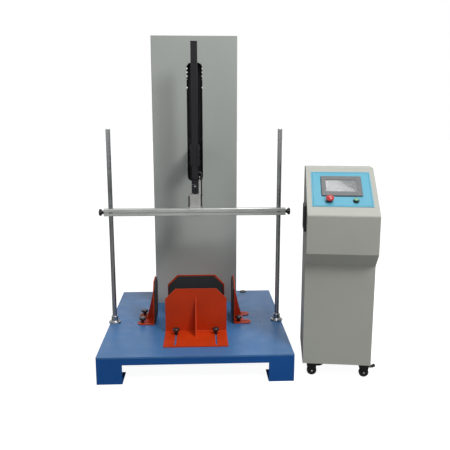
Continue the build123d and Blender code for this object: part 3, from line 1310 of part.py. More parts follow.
# Assembly
def build_nodes():
    """Every node by name, placed in the station's frame."""
    nodes = {
        "base_deck": base_deck(),
        "base_skirt": base_skirt(),
        "base_frame": base_frame(),
        "column_shell": column_shell(),
        "column_rear_cover": column_rear_cover(),
        "deck_grommet": deck_grommet(),
        "module_beam": module_beam(),
        "timing_belt": timing_belt(),
        "gear_motor": gear_motor(),
        "drive_pulley": drive_pulley(),
        "idler_pulley": idler_pulley(),
        "carriage": carriage(),
        "slot_arm": slot_arm(),
        "pull_bar": pull_bar(),
        "load_cell": load_cell(),
        "gripper_yoke": gripper_yoke(),
        "gripper_cheeks": gripper_cheeks(),
        "air_hose": air_hose(),
        "jaw_front": jaw(-1),
        "jaw_rear": jaw(1),
        "posts": posts(),
        "post_flanges": post_flanges(),
        "crossbar": crossbar(),
        "crossbar_knob_left": crossbar_knob(-1),
        "crossbar_knob_right": crossbar_knob(1),
    }
    wide = wide_bracket()
    side = side_bracket()
    wide_pad = bracket_pad(WIDE_BRACKET_WIDTH, WIDE_BRACKET_CHAMFER)
    side_pad = bracket_pad(SIDE_BRACKET_WIDTH, SIDE_BRACKET_CHAMFER)
    for name, place in bracket_places.items():
        is_wide = name in ("front", "rear")
        nodes["bracket_" + name] = place * (wide if is_wide else side)
        nodes["pad_" + name] = place * (wide_pad if is_wide else side_pad)
    for name, (x, y) in knob_places.items():
        nodes["knob_" + name] = bracket_knob(x, y)
    console = {
        "console_shell": console_shell(),
        "console_rear_panel": console_rear_panel(),
        "control_panel": control_panel(),
        "hmi_frame": hmi_frame(),
        "hmi_screen": hmi_screen(),
        "button_collars": button_collars(),
        "estop_button": estop_button(),
        "start_button": start_button(),
        "fan_grille": fan_grille(),
    }
    for name, (x, y) in zip(caster_names, caster_places):
        braked = name in braked_casters
        console["caster_fork_" + name] = Pos(x, y, 0) * caster_fork(braked)
        console["caster_wheel_" + name] = Pos(x, y, 0) * caster_wheel()
        if braked:
            console["brake_pedal_" + name] = Pos(x, y, 0) * brake_pedal()
    for name, shape in console.items():
        nodes[name] = console_place * shape
    return nodes


nodes = build_nodes()
boxes = [shape.bounding_box() for shape in nodes.values()]
low_x, high_x = min(box.min.X for box in boxes), max(box.max.X for box in boxes)
low_y, high_y = min(box.min.Y for box in boxes), max(box.max.Y for box in boxes)
low_z = min(box.min.Z for box in boxes)
origin_shift = Vector(-(low_x + high_x) / 2, -(low_y + high_y) / 2, -low_z)

os.makedirs("parts", exist_ok=True)
for node_name, node_shape in nodes.items():
    export_step(Pos(origin_shift) * node_shape, "parts/" + node_name + ".step")
print("nodes", len(nodes), "origin shift", origin_shift)
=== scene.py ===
import json
import math

import bmesh
import bpy
from mathutils import Matrix, Vector


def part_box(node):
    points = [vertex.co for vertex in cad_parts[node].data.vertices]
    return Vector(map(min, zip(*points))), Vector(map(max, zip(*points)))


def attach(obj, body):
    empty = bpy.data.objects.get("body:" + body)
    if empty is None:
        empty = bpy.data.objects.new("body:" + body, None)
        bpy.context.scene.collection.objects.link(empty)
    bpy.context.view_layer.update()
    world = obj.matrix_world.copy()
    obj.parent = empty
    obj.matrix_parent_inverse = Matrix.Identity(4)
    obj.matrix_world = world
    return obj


# Looks of the luggage handle fatigue tester. Metres, in the model's own frame. Small details are placed from
# the boxes and joints of the pieces that carry them, so each one stays on its piece.
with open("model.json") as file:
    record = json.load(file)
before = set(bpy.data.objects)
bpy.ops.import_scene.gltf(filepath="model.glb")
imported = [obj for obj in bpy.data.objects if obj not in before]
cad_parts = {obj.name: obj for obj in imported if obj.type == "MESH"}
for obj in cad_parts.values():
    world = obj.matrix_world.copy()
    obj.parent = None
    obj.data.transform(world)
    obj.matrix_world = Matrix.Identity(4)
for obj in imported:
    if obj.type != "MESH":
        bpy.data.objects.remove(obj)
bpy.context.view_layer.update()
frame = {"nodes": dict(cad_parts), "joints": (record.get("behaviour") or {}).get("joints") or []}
joints = {joint["name"]: joint for joint in frame["joints"]}
MM = 0.001

# The station's frame has its origin in the middle of the base, on the floor.
deck_low, deck_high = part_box("base_deck")
station = Vector(((deck_low.x + deck_high.x) / 2, (deck_low.y + deck_high.y) / 2, 0))

# Camera, in the station's frame
CAMERA_PLACE = Vector((0.029, -3.186, 1.317))
CAMERA_PITCH = math.radians(10.76)
CAMERA_YAW = math.radians(2.55)
FOCAL_PIXELS = 560.8
FRAME_PIXELS = 450
SENSOR_MM = 36.0


def make_camera():
    """The camera of the photograph."""
    data = bpy.data.cameras.new("camera")
    data.sensor_width = SENSOR_MM
    data.lens = FOCAL_PIXELS / FRAME_PIXELS * SENSOR_MM
    camera = bpy.data.objects.new("camera", data)
    camera.location = station + CAMERA_PLACE
    camera.rotation_euler = (math.pi / 2 - CAMERA_PITCH, 0, -CAMERA_YAW)
    bpy.context.scene.collection.objects.link(camera)
    bpy.context.scene.camera = camera


# How strongly painted sheet reflects
PAINT_SPECULAR = 0.3

# Surface texture: the levels that noise mostly lies between, scales per metre, and depths of relief
NOISE_LOW = 0.3
NOISE_HIGH = 0.7
GLOSS_PATCHES = 14
ORANGE_PEEL = 420
ORANGE_PEEL_DEPTH = 0.4 * MM
SHEET_WAVES = 3.5
SHEET_WAVE_DEPTH = 4 * MM
METAL_SPOTS = 9
METAL_LINE_DEPTH = 0.3 * MM
PLASTIC_TONES = 40
PLASTIC_GRAIN_DEPTH = 0.2 * MM
GLASS_TONES = 10
GLASS_WAVES = 26
GLASS_WAVE_DEPTH = 2 * MM
FILM_WRINKLES = 55
FILM_WRINKLE_DEPTH = 2 * MM


# Materials
def new_material(name):
    """An empty material with its shader and the object's own coordinates."""
    material = bpy.data.materials.new(name)
    material.use_nodes = True
    tree = material.node_tree
    shader = tree.nodes["Principled BSDF"]
    place = tree.nodes.new("ShaderNodeTexCoord")
    return material, tree, shader, place.outputs["Object"]


def noise(tree, place, scale, detail=3.0, stretch=None):
    """Noise of a given scale per metre, drawn out along an axis when stretch is given."""
    if stretch:
        mapping = tree.nodes.new("ShaderNodeMapping")
        mapping.inputs["Scale"].default_value = stretch
        tree.links.new(place, mapping.inputs["Vector"])
        place = mapping.outputs["Vector"]
    texture = tree.nodes.new("ShaderNodeTexNoise")
    texture.inputs["Scale"].default_value = scale
    texture.inputs["Detail"].default_value = detail
    tree.links.new(place, texture.inputs["Vector"])
    return texture.outputs["Fac"]


def ramp(tree, value, stops):
    """A colour ramp over (position, colour) stops."""
    node = tree.nodes.new("ShaderNodeValToRGB")
    elements = node.color_ramp.elements
    while len(elements) < len(stops):
        elements.new(0.5)
    for element, (position, colour) in zip(elements, stops):
        element.position = position
        element.color = (*colour, 1)
    tree.links.new(value, node.inputs["Fac"])
    return node.outputs["Color"]


def remap(tree, value, low, high):
    """Spreads a noise, which mostly lies between its two named levels, over a range of numbers."""
    node = tree.nodes.new("ShaderNodeMapRange")
    node.inputs["From Min"].default_value = NOISE_LOW
    node.inputs["From Max"].default_value = NOISE_HIGH
    node.inputs["To Min"].default_value = low
    node.inputs["To Max"].default_value = high
    tree.links.new(value, node.inputs["Value"])
    return node.outputs["Result"]


def bump(tree, shader, height, strength, distance):
    """Surface relief on the shader's normal, added to relief that is there already."""
    node = tree.nodes.new("ShaderNodeBump")
    node.inputs["Strength"].default_value = strength
    node.inputs["Distance"].default_value = distance
    tree.links.new(height, node.inputs["Height"])
    if shader.inputs["Normal"].links:
        tree.links.new(shader.inputs["Normal"].links[0].from_socket, node.inputs["Normal"])
    tree.links.new(node.outputs["Normal"], shader.inputs["Normal"])


def shade(colour, factor):
    """A colour made lighter or darker."""
    return tuple(min(1.0, part * factor) for part in colour)


def powder_coat(name, colour, roughness=0.42, mottle=0.06, grain=0.25, cloud=2.2):
    """Painted sheet metal: soft clouds of tone, a fine orange peel and uneven gloss."""
    material, tree, shader, place = new_material(name)
    shader.inputs["Specular IOR Level"].default_value = PAINT_SPECULAR
    clouds = noise(tree, place, cloud, 4)
    colours = ramp(tree, clouds, [(0.32, shade(colour, 1 - mottle)), (0.68, shade(colour, 1 + mottle))])
    gloss = remap(tree, noise(tree, place, GLOSS_PATCHES, 5), roughness - 0.06, roughness + 0.08)
    tree.links.new(colours, shader.inputs["Base Color"])
    tree.links.new(gloss, shader.inputs["Roughness"])
    bump(tree, shader, noise(tree, place, ORANGE_PEEL, 2), grain, ORANGE_PEEL_DEPTH)
    bump(tree, shader, noise(tree, place, SHEET_WAVES, 2), 0.08, SHEET_WAVE_DEPTH)
    return material


def brushed(name, colour, roughness=0.3, grain_axis=(1, 90, 90), scale=6.0, metallic=1.0):
    """Metal with drawn or ground lines along one axis."""
    material, tree, shader, place = new_material(name)
    shader.inputs["Metallic"].default_value = metallic
    lines = noise(tree, place, scale, 4, grain_axis)
    spots = noise(tree, place, METAL_SPOTS, 5)
    colours = ramp(tree, lines, [(NOISE_LOW, shade(colour, 0.86)), (NOISE_HIGH, shade(colour, 1.08))])
    tree.links.new(colours, shader.inputs["Base Color"])
    tree.links.new(remap(tree, spots, roughness - 0.07, roughness + 0.1), shader.inputs["Roughness"])
    bump(tree, shader, lines, 0.12, METAL_LINE_DEPTH)
    return material


def moulded(name, colour, roughness=0.45, grain=0.3, scale=900.0, coat=0.0):
    """Moulded plastic or rubber with a fine spark-eroded grain."""
    material, tree, shader, place = new_material(name)
    shader.inputs["Coat Weight"].default_value = coat
    tone = noise(tree, place, PLASTIC_TONES, 5)
    colours = ramp(tree, tone, [(NOISE_LOW, shade(colour, 0.85)), (NOISE_HIGH, shade(colour, 1.15))])
    tree.links.new(colours, shader.inputs["Base Color"])
    tree.links.new(remap(tree, tone, roughness - 0.05, roughness + 0.07), shader.inputs["Roughness"])
    bump(tree, shader, noise(tree, place, scale, 2), grain, PLASTIC_GRAIN_DEPTH)
    return material


def glazed(name, colour):
    """Glass in front of a grey screen that is switched off."""
    material, tree, shader, place = new_material(name)
    shader.inputs["Roughness"].default_value = 0.08
    shader.inputs["Coat Weight"].default_value = 0.6
    tone = noise(tree, place, GLASS_TONES, 3)
    colours = ramp(tree, tone, [(0.35, shade(colour, 0.85)), (0.65, shade(colour, 1.25))])
    tree.links.new(colours, shader.inputs["Base Color"])
    bump(tree, shader, noise(tree, place, GLASS_WAVES, 3), 0.12, GLASS_WAVE_DEPTH)
    return material


def clear_film(name):
    """Crinkled clear protective film, thin enough to see through."""
    material, tree, shader, place = new_material(name)
    shader.inputs["Base Color"].default_value = (0.9, 0.92, 0.94, 1)
    shader.inputs["Roughness"].default_value = 0.1
    wrinkles = noise(tree, place, FILM_WRINKLES, 5, (1, 1, 2.5))
    tree.links.new(remap(tree, wrinkles, 0.0, 0.12), shader.inputs["Alpha"])
    bump(tree, shader, wrinkles, 0.7, FILM_WRINKLE_DEPTH)
    return material


# The deck and the skirt share one blue paint. The deck top's lighter blue is painted light, and the darker
# blue of the skirt's upright sides, which the base frame shares, is painted shade.
lit_deck_paint = powder_coat("deck paint with painted light", (0.055, 0.175, 0.40), 0.36, 0.12, cloud=3.0)
shaded_skirt_paint = powder_coat("skirt paint with painted shade", (0.003, 0.085, 0.33), 0.4, 0.07)
column_paint = powder_coat("column paint", (0.415, 0.44, 0.415), 0.5, 0.04, cloud=1.4)
console_paint = powder_coat("console paint", (0.44, 0.45, 0.405), 0.42, 0.03, cloud=2.5)
bracket_paint = powder_coat("bracket paint", (0.52, 0.036, 0.001), 0.45, 0.08, cloud=7)
motor_paint = powder_coat("motor paint", (0.035, 0.045, 0.06), 0.4, 0.08, cloud=8)
panel_paint = powder_coat("panel paint", (0.11, 0.40, 0.54), 0.38, 0.03, grain=0.1)
panel_line_paint = powder_coat("panel line paint", (0.05, 0.22, 0.33), 0.4, 0.05)
bar_paint = powder_coat("bar paint", (0.008, 0.008, 0.011), 0.5, 0.15, cloud=6)
caster_paint = powder_coat("caster paint", (0.012, 0.012, 0.014), 0.35, 0.15, cloud=20)
# The module, its pulleys and the carriage are black anodised. Their black also stands in for the shade
# inside the column, seen through the slot.
module_metal = brushed("black anodised aluminium", (0.028, 0.029, 0.032), 0.4, (60, 60, 1), metallic=0.6)
gripper_metal = brushed("gripper aluminium", (0.50, 0.50, 0.485), 0.42, (30, 30, 2), 12, metallic=0.8)
jaw_metal = brushed("jaw steel", (0.32, 0.32, 0.33), 0.35, (2, 40, 40), 12)
post_metal = brushed("post steel", (0.34, 0.35, 0.36), 0.24, (60, 60, 1.5), 8)
crossbar_metal = brushed("crossbar aluminium", (0.62, 0.64, 0.62), 0.36, (1, 80, 80), 6)
screw_metal = brushed("screw steel", (0.30, 0.30, 0.30), 0.35, (8, 8, 8), 60)
zinc_metal = brushed("zinc plated steel", (0.52, 0.52, 0.48), 0.32, (10, 10, 10), 40)
black_screw_metal = brushed("black oxide steel", (0.03, 0.03, 0.033), 0.4, (8, 8, 8), 60)
knob_plastic = moulded("knob plastic", (0.012, 0.012, 0.013), 0.38, coat=0.15)
cheek_plastic = moulded("cheek plastic", (0.012, 0.012, 0.012), 0.45)
hose_plastic = moulded("hose plastic", (0.010, 0.010, 0.011), 0.3, 0.1, 300)
fan_plastic = moulded("fan plastic", (0.012, 0.012, 0.013), 0.5)
hmi_plastic = moulded("bezel plastic", (0.11, 0.115, 0.12), 0.42)
collar_plastic = moulded("collar plastic", (0.02, 0.02, 0.02), 0.4)
estop_plastic = moulded("stop button plastic", (0.55, 0.012, 0.012), 0.22, 0.05, 300, coat=0.4)
start_plastic = moulded("start button plastic", (0.008, 0.26, 0.09), 0.22, 0.05, 300, coat=0.4)
# On the bracket pads this black rubber also stands in for the shade that falls on the brackets' inner faces.
pad_rubber = moulded("pad rubber", (0.014, 0.014, 0.014), 0.7, 0.6, 350)
wheel_rubber = moulded("wheel rubber", (0.016, 0.016, 0.016), 0.5, 0.3, 500)
belt_rubber = moulded("belt rubber", (0.012, 0.012, 0.012), 0.6, 0.5, 300)
grommet_rubber = moulded("grommet rubber", (0.010, 0.010, 0.010), 0.5, 0.3, 400)
screen_glass = glazed("screen glass", (0.12, 0.13, 0.135))
film_plastic = clear_film("screen film")

node_materials = {
    "base_deck": lit_deck_paint,
    "base_skirt": shaded_skirt_paint,
    "base_frame": shaded_skirt_paint,
    "column_shell": column_paint,
    "column_rear_cover": column_paint,
    "deck_grommet": grommet_rubber,
    "module_beam": module_metal,
    "timing_belt": belt_rubber,
    "gear_motor": motor_paint,
    "drive_pulley": module_metal,
    "idler_pulley": module_metal,
    "carriage": module_metal,
    "slot_arm": bar_paint,
    "pull_bar": bar_paint,
    "load_cell": bar_paint,
    "gripper_yoke": gripper_metal,
    "gripper_cheeks": cheek_plastic,
    "air_hose": hose_plastic,
    "jaw_front": jaw_metal,
    "jaw_rear": jaw_metal,
    "posts": post_metal,
    "post_flanges": post_metal,
    "crossbar": crossbar_metal,
    "console_shell": console_paint,
    "console_rear_panel": console_paint,
    "control_panel": panel_paint,
    "hmi_frame": hmi_plastic,
    "hmi_screen": screen_glass,
    "button_collars": collar_plastic,
    "estop_button": estop_plastic,
    "start_button": start_plastic,
    "fan_grille": fan_plastic,
}
family_materials = {
    "bracket_": bracket_paint,
    "pad_": pad_rubber,
    "knob_": knob_plastic,
    "crossbar_knob_": knob_plastic,
    "caster_fork_": caster_paint,
    "caster_wheel_": wheel_rubber,
    "brake_pedal_": caster_paint,
}
edge_radius = {
    "base_deck": 1.5 * MM,
    "base_skirt": 1.0 * MM,
    "column_rear_cover": 0.6 * MM,
    "pull_bar": 0.8 * MM,
    "slot_arm": 0.8 * MM,
    "load_cell": 0.6 * MM,
    "gripper_yoke": 0.5 * MM,
    "gripper_cheeks": 0.6 * MM,
    "control_panel": 0.4 * MM,
    "hmi_frame": 0.8 * MM,
    "console_shell": 0.8 * MM,
    "console_rear_panel": 0.5 * MM,
    "crossbar": 0.4 * MM,
    "bracket_front": 0.6 * MM,
    "bracket_rear": 0.6 * MM,
    "bracket_right": 0.6 * MM,
    "bracket_left": 0.6 * MM,
}
MERGE_DISTANCE = 0.01 * MM
ROUNDED_FROM_ANGLE = math.radians(40)


def round_edges(node, radius):
    """A small rounding on sharp edges, which catches the light."""
    weld = node.modifiers.new("weld", "WELD")
    weld.merge_threshold = MERGE_DISTANCE
    rounding = node.modifiers.new("rounding", "BEVEL")
    rounding.width = radius
    rounding.segments = 2
    rounding.limit_method = "ANGLE"
    rounding.angle_limit = ROUNDED_FROM_ANGLE
    rounding.harden_normals = True


def dress_cad_nodes():
    """Each CAD node gets its material, and sheet and machined parts get their rounded edges."""
    for name, node in frame["nodes"].items():
        material = node_materials.get(name)
        if material is None:
            material = next(found for start, found in family_materials.items() if name.startswith(start))
        node.data.materials.clear()
        node.data.materials.append(material)
        if name in edge_radius:
            round_edges(node, edge_radius[name])


# Mesh tools
SHARP_FROM_DEGREES = 35
NO_LENGTH = 1e-6


def hexagon_reach(flat, angle):
    """How far a hexagon reaches from its middle in one direction. flat is half its width across flats."""
    return flat / math.cos((angle + math.pi / 6) % (math.pi / 3) - math.pi / 6)


def turned(bm, place, profile, segments=24):
    """A closed form round the z axis of place, from (radius, height) or (radius, height, "hex") entries."""
    rings = []
    for radius, height, *hexagon in profile:
        ring = []
        for step in range(segments):
            angle = 2 * math.pi * step / segments
            reach = hexagon_reach(radius, angle) if hexagon else radius
            point = Vector((reach * math.cos(angle), reach * math.sin(angle), height))
            ring.append(bm.verts.new(place @ point))
        rings.append(ring)
    for low, high in zip(rings, rings[1:]):
        for step in range(segments):
            after = (step + 1) % segments
            bm.faces.new((low[step], low[after], high[after], high[step]))
    bm.faces.new(rings[0][::-1])
    bm.faces.new(rings[-1])


def slab(bm, place, size, rounding):
    """A box with rounded edges, centred on place."""
    made = bmesh.ops.create_cube(bm, size=1, matrix=place @ Matrix.Diagonal((*size, 1)))
    edges = {edge for vert in made["verts"] for edge in vert.link_edges}
    bmesh.ops.bevel(bm, geom=list(edges), offset=rounding, segments=2, affect="EDGES", clamp_overlap=True)


def finish_piece(name, bm, material, body, sharp=SHARP_FROM_DEGREES):
    """Turns a mesh under construction into a piece that rides on a body."""
    bmesh.ops.recalc_face_normals(bm, faces=bm.faces)
    mesh = bpy.data.meshes.new(name)
    bm.to_mesh(mesh)
    bm.free()
    mesh.shade_smooth()
    mesh.set_sharp_from_angle(angle=math.radians(sharp))
    mesh.materials.append(material)
    piece = bpy.data.objects.new(name, mesh)
    bpy.context.scene.collection.objects.link(piece)
    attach(piece, body)
    return piece


def facing(place, direction):
    """A place whose z axis points along direction."""
    z = Vector(direction).normalized()
    x = Vector((0, 0, 1)).cross(z)
    if x.length < NO_LENGTH:
        x = Vector((1, 0, 0))
    x.normalize()
    turn = Matrix((x, z.cross(x), z)).transposed().to_4x4()
    return Matrix.Translation(place) @ turn


def cap_screw(bm, place, head_radius, head_height):
    """Hexagon socket cap screw head that stands on place."""
    socket = head_radius * 0.5
    turned(
        bm,
        place,
        [
            (head_radius, 0),
            (head_radius, head_height * 0.85),
            (head_radius * 0.88, head_height),
            (socket * 1.12, head_height),
            (socket, head_height * 0.93, "hex"),
            (socket, head_height * 0.35, "hex"),
        ],
    )


def pan_screw(bm, place, head_radius):
    """Low domed screw head with a hexagon socket."""
    socket = head_radius * 0.42
    turned(
        bm,
        place,
        [
            (head_radius, 0),
            (head_radius * 0.96, head_radius * 0.25),
            (head_radius * 0.75, head_radius * 0.48),
            (socket * 1.1, head_radius * 0.58),
            (socket, head_radius * 0.52, "hex"),
            (socket, head_radius * 0.1, "hex"),
        ],
    )


def hex_nut(bm, place, across, height, bolt_radius):
    """Hexagon nut with a bolt end that stands out of it."""
    flat = across / 2
    turned(
        bm,
        place,
        [
            (flat, 0, "hex"),
            (flat, height * 0.85, "hex"),
            (flat * 0.96, height),
            (bolt_radius, height),
            (bolt_radius, height * 1.35),
            (bolt_radius * 0.8, height * 1.5),
        ],
        segments=36,
    )


# Station details
CAP_HEAD_HEIGHT = 5.5 * MM
FLANGE_HEAD_RADIUS = 4.9 * MM
FLANGE_BOLT_RADIUS = 26.5 * MM
FLANGE_BOLTS = 4
FLANGE_PLATE = 9 * MM
COVER_HEAD_RADIUS = 4.5 * MM
COVER_SCREW_MARGIN = 11 * MM
COVER_SCREW_ROWS = 7
COVER_END_SCREWS = (0.33, 0.67)
CLAMP_HEAD_RADIUS = 5 * MM
CLAMP_SIDE = 26.3 * MM
CLAMP_SCREW_PITCH = 40 * MM
CHEEK_HEAD_RADIUS = 2.8 * MM
CHEEK_SCREW_MARGIN = 10 * MM


def spread(low, high, count):
    """Evenly spaced numbers from low to high."""
    return [low + (high - low) * index / (count - 1) for index in range(count)]


def flange_screws():
    """Four cap screws in each post flange."""
    low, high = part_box("post_flanges")
    reach = (high.y - low.y) / 2
    bm = bmesh.new()
    for x in (low.x + reach, high.x - reach):
        for index in range(FLANGE_BOLTS):
            angle = math.pi / 4 + index * 2 * math.pi / FLANGE_BOLTS
            spot = Vector((x, (low.y + high.y) / 2, deck_high.z + FLANGE_PLATE))
            spot += FLANGE_BOLT_RADIUS * Vector((math.cos(angle), math.sin(angle), 0))
            cap_screw(bm, facing(spot, (0, 0, 1)), FLANGE_HEAD_RADIUS, CAP_HEAD_HEIGHT)
    finish_piece("flange_screws", bm, screw_metal, "station")


def cover_screws():
    """Screws round the column's rear cover."""
    low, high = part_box("column_rear_cover")
    first = low + Vector((1, 1, 1)) * COVER_SCREW_MARGIN
    last = high - Vector((1, 1, 1)) * COVER_SCREW_MARGIN
    spots = [(x, high.y, z) for z in spread(first.z, last.z, COVER_SCREW_ROWS) for x in (first.x, last.x)]
    for share in COVER_END_SCREWS:
        spots += [(low.x + (high.x - low.x) * share, high.y, z) for z in (first.z, last.z)]
    bm = bmesh.new()
    for spot in spots:
        pan_screw(bm, facing(spot, (0, 1, 0)), COVER_HEAD_RADIUS)
    finish_piece("cover_screws", bm, zinc_metal, "station")


def clamp_screws():
    """Cap screws through the cheeks of the arm's clamp on the pull bar."""
    low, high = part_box("slot_arm")
    bar_low, bar_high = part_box("pull_bar")
    middle = Vector(((low.x + high.x) / 2, (bar_low.y + bar_high.y) / 2, (low.z + high.z) / 2))
    bm = bmesh.new()
    for side in (-1, 1):
        for step in (-1, 0, 1):
            spot = middle + Vector((side * CLAMP_SIDE, 0, step * CLAMP_SCREW_PITCH))
            cap_screw(bm, facing(spot, (side, 0, 0)), CLAMP_HEAD_RADIUS, CAP_HEAD_HEIGHT)
    finish_piece("clamp_screws", bm, black_screw_metal, "lift_carriage")


# Bracket welds
BRACKET_SHEET = 5 * MM
GUSSET_SHEET = 6 * MM
GUSSET_HEIGHT = 201 * MM
bracket_directions = {"front": (0, -1), "rear": (0, 1), "right": (1, 0), "left": (-1, 0)}
gusset_reach = {"front": 98 * MM, "rear": 98 * MM, "right": 52 * MM, "left": 52 * MM}
WELD_RADIUS = 3 * MM
WELD_RIPPLE = 2.4 * MM
WELD_START = 4 * MM
WELD_END_GAP = 3 * MM
WELD_ARC = (0, math.pi / 6, math.pi / 3, math.pi / 2)


def weld_bead(bm, start, end, legs):
    """A rippled fillet weld along an inside corner. legs are the two directions that it spreads in."""
    start, end = Vector(start), Vector(end)
    steps = max(4, int((end - start).length / WELD_RIPPLE))
    one, two = Vector(legs[0]), Vector(legs[1])
    rings = []
    for step in range(steps + 1):
        middle = start.lerp(end, step / steps)
        swell = WELD_RADIUS * (0.82 + 0.18 * (step % 2))
        if step in (0, steps):
            swell *= 0.5
        ring = [middle - (one + two) * 0.1 * WELD_RADIUS]
        ring += [middle + swell * (math.cos(angle) * one + math.sin(angle) * two) for angle in WELD_ARC]
        rings.append([bm.verts.new(point) for point in ring])
    for low, high in zip(rings, rings[1:]):
        for index in range(len(low)):
            after = (index + 1) % len(low)
            bm.faces.new((low[index], low[after], high[after], high[index]))
    bm.faces.new(rings[0])
    bm.faces.new(rings[-1][::-1])


def bracket_welds():
    """Weld beads along both edges of each bracket's gusset."""
    for word, direction in bracket_directions.items():
        outward = Vector((*direction, 0))
        along = Vector((-outward.y, outward.x, 0))
        upward = Vector((0, 0, 1))
        low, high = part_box("bracket_" + word)
        middle = (low + high) / 2
        inner = middle - outward * abs((high - low).dot(outward)) / 2
        corner = inner + outward * BRACKET_SHEET
        corner.z = low.z + BRACKET_SHEET
        foot_length = gusset_reach[word] - BRACKET_SHEET - WELD_END_GAP
        wall_length = GUSSET_HEIGHT - BRACKET_SHEET - WELD_END_GAP
        bm = bmesh.new()
        for side in (-1, 1):
            edge = corner + along * side * GUSSET_SHEET / 2
            foot_legs = (along * side, upward)
            wall_legs = (along * side, outward)
            weld_bead(bm, edge + outward * WELD_START, edge + outward * foot_length, foot_legs)
            weld_bead(bm, edge + upward * WELD_START, edge + upward * wall_length, wall_legs)
        finish_piece("welds_" + word, bm, bracket_paint, "bracket_" + word, sharp=50)


# Knobs and gripper
KNOB_CAP_SINK = 1 * MM
KNOB_CAP_PROFILE = [
    (7 * MM, 0),
    (7 * MM, 0.7 * MM),
    (6.2 * MM, 0.95 * MM),
    (3.4 * MM, 0.95 * MM),
    (3.1 * MM, 0.5 * MM),
]


def knob_caps():
    """The pressed-in cap in the crown of each star knob."""
    for name in frame["nodes"]:
        if "knob_" not in name:
            continue
        low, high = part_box(name)
        middle = (low + high) / 2
        if name == "crossbar_knob_left":
            spot, direction = Vector((low.x, middle.y, middle.z)), Vector((-1, 0, 0))
        elif name == "crossbar_knob_right":
            spot, direction = Vector((high.x, middle.y, middle.z)), Vector((1, 0, 0))
        else:
            spot, direction = Vector((middle.x, middle.y, high.z)), Vector((0, 0, 1))
        bm = bmesh.new()
        turned(bm, facing(spot - direction * KNOB_CAP_SINK, direction), KNOB_CAP_PROFILE)
        finish_piece(name + "_cap", bm, knob_plastic, name)


def gripper_screws():
    """The screws that hold the gripper's two black cheeks."""
    low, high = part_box("gripper_cheeks")
    bm = bmesh.new()
    for side, x in ((-1, low.x), (1, high.x)):
        for z in (low.z + CHEEK_SCREW_MARGIN, high.z - CHEEK_SCREW_MARGIN):
            for y in (low.y + CHEEK_SCREW_MARGIN, high.y - CHEEK_SCREW_MARGIN):
                pan_screw(bm, facing((x, y, z), (side, 0, 0)), CHEEK_HEAD_RADIUS)
    finish_piece("cheek_screws", bm, screw_metal, "pull_bar")


# Console details, placed in the console's own frame
caster_words = ("front_left", "front_right", "rear_left", "rear_right")
swivel = {word: Vector(joints["caster_%s_swivel" % word]["pos_m"]) for word in caster_words}
console_right = (swivel["front_right"] - swivel["front_left"]).normalized()
console_back = (swivel["rear_left"] - swivel["front_left"]).normalized()
panel_normal = Vector(joints["estop_press"]["axis"])
panel_up = panel_normal.cross(console_right)
panel_turn = Matrix((console_right, panel_up, panel_normal)).transposed().to_4x4()
PANEL_SHEET = 2 * MM
PANEL_WIDTH = 294 * MM
PANEL_LENGTH = 258 * MM
OUTLINE_INSET = 6 * MM
OUTLINE_WIDTH = 2.2 * MM
OUTLINE_THICKNESS = 0.25 * MM
OUTLINE_LIFT = 0.02 * MM
FILM_WIDTH = 150 * MM
FILM_HEIGHT = 83 * MM
FILM_LIFT = 2.1 * MM
FILM_COLUMNS = 60
FILM_ROWS = 34
FILM_WAVE = 0.9 * MM
REAR_PANEL_HALF_WIDTH = 164.5 * MM
REAR_PANEL_SHEET = 1.5 * MM
REAR_HEAD_RADIUS = 4 * MM
REAR_SCREW_ROWS = 5
REAR_SCREW_MARGIN = 14 * MM
REAR_SCREW_INSET = 8 * MM
FAN_FILTER = (108 * MM, 108 * MM, 3 * MM)
FAN_FILTER_INSET = 5 * MM
FAN_FILTER_ROUNDING = 0.5 * MM
NUT_ACROSS = 9 * MM
NUT_HEIGHT = 3.2 * MM
NUT_PLACE = 14.5 * MM
AXLE_RADIUS = 2.8 * MM
BALL_RACE_DROP = 8.5 * MM
BALL_RACE_PROFILE = [(20.5 * MM, 0), (22 * MM, 1.5 * MM), (22 * MM, 3 * MM), (20.5 * MM, 3.9 * MM)]


def corners(width, height):
    """The corners of a rectangle round the origin."""
    x, y = width / 2, height / 2
    return [(-x, -y), (x, -y), (x, y), (-x, y)]


def frame_strip(bm, place, width, height, line, thickness):
    """A thin rectangular outline that lies on a face, open underneath."""
    outer = [Vector((x, y, z)) for z in (0, thickness) for x, y in corners(width, height)]
    inner_corners = corners(width - 2 * line, height - 2 * line)
    inner = [Vector((x, y, z)) for z in (0, thickness) for x, y in inner_corners]
    verts = [bm.verts.new(place @ point) for point in outer + inner]
    for index in range(4):
        after = (index + 1) % 4
        bm.faces.new((verts[4 + index], verts[4 + after], verts[12 + after], verts[12 + index]))
        bm.faces.new((verts[index], verts[8 + index], verts[8 + after], verts[after]))
        bm.faces.new((verts[index], verts[after], verts[4 + after], verts[4 + index]))
        bm.faces.new((verts[8 + index], verts[12 + index], verts[12 + after], verts[8 + after]))


def panel_lines():
    """The thin dark outline printed inside the panel's edge."""
    low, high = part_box("control_panel")
    face = (low + high) / 2 + panel_normal * (PANEL_SHEET / 2 + OUTLINE_LIFT)
    width, length = PANEL_WIDTH - 2 * OUTLINE_INSET, PANEL_LENGTH - 2 * OUTLINE_INSET
    bm = bmesh.new()
    frame_strip(bm, Matrix.Translation(face) @ panel_turn, width, length, OUTLINE_WIDTH, OUTLINE_THICKNESS)
    finish_piece("panel_outline", bm, panel_line_paint, "console")


def film_height(u, v):
    """How far the film stands up at a place from 0 to 1 across and up. It puckers towards its lower edge."""
    pucker = math.exp(-v * 5)
    wave = math.sin(u * 34 + 2 * math.sin(u * 9)) * 0.35 + math.sin(u * 13 + v * 6) * 0.3
    return (0.35 + wave * pucker + 0.08 * math.sin(u * 7 + v * 11)) * FILM_WAVE


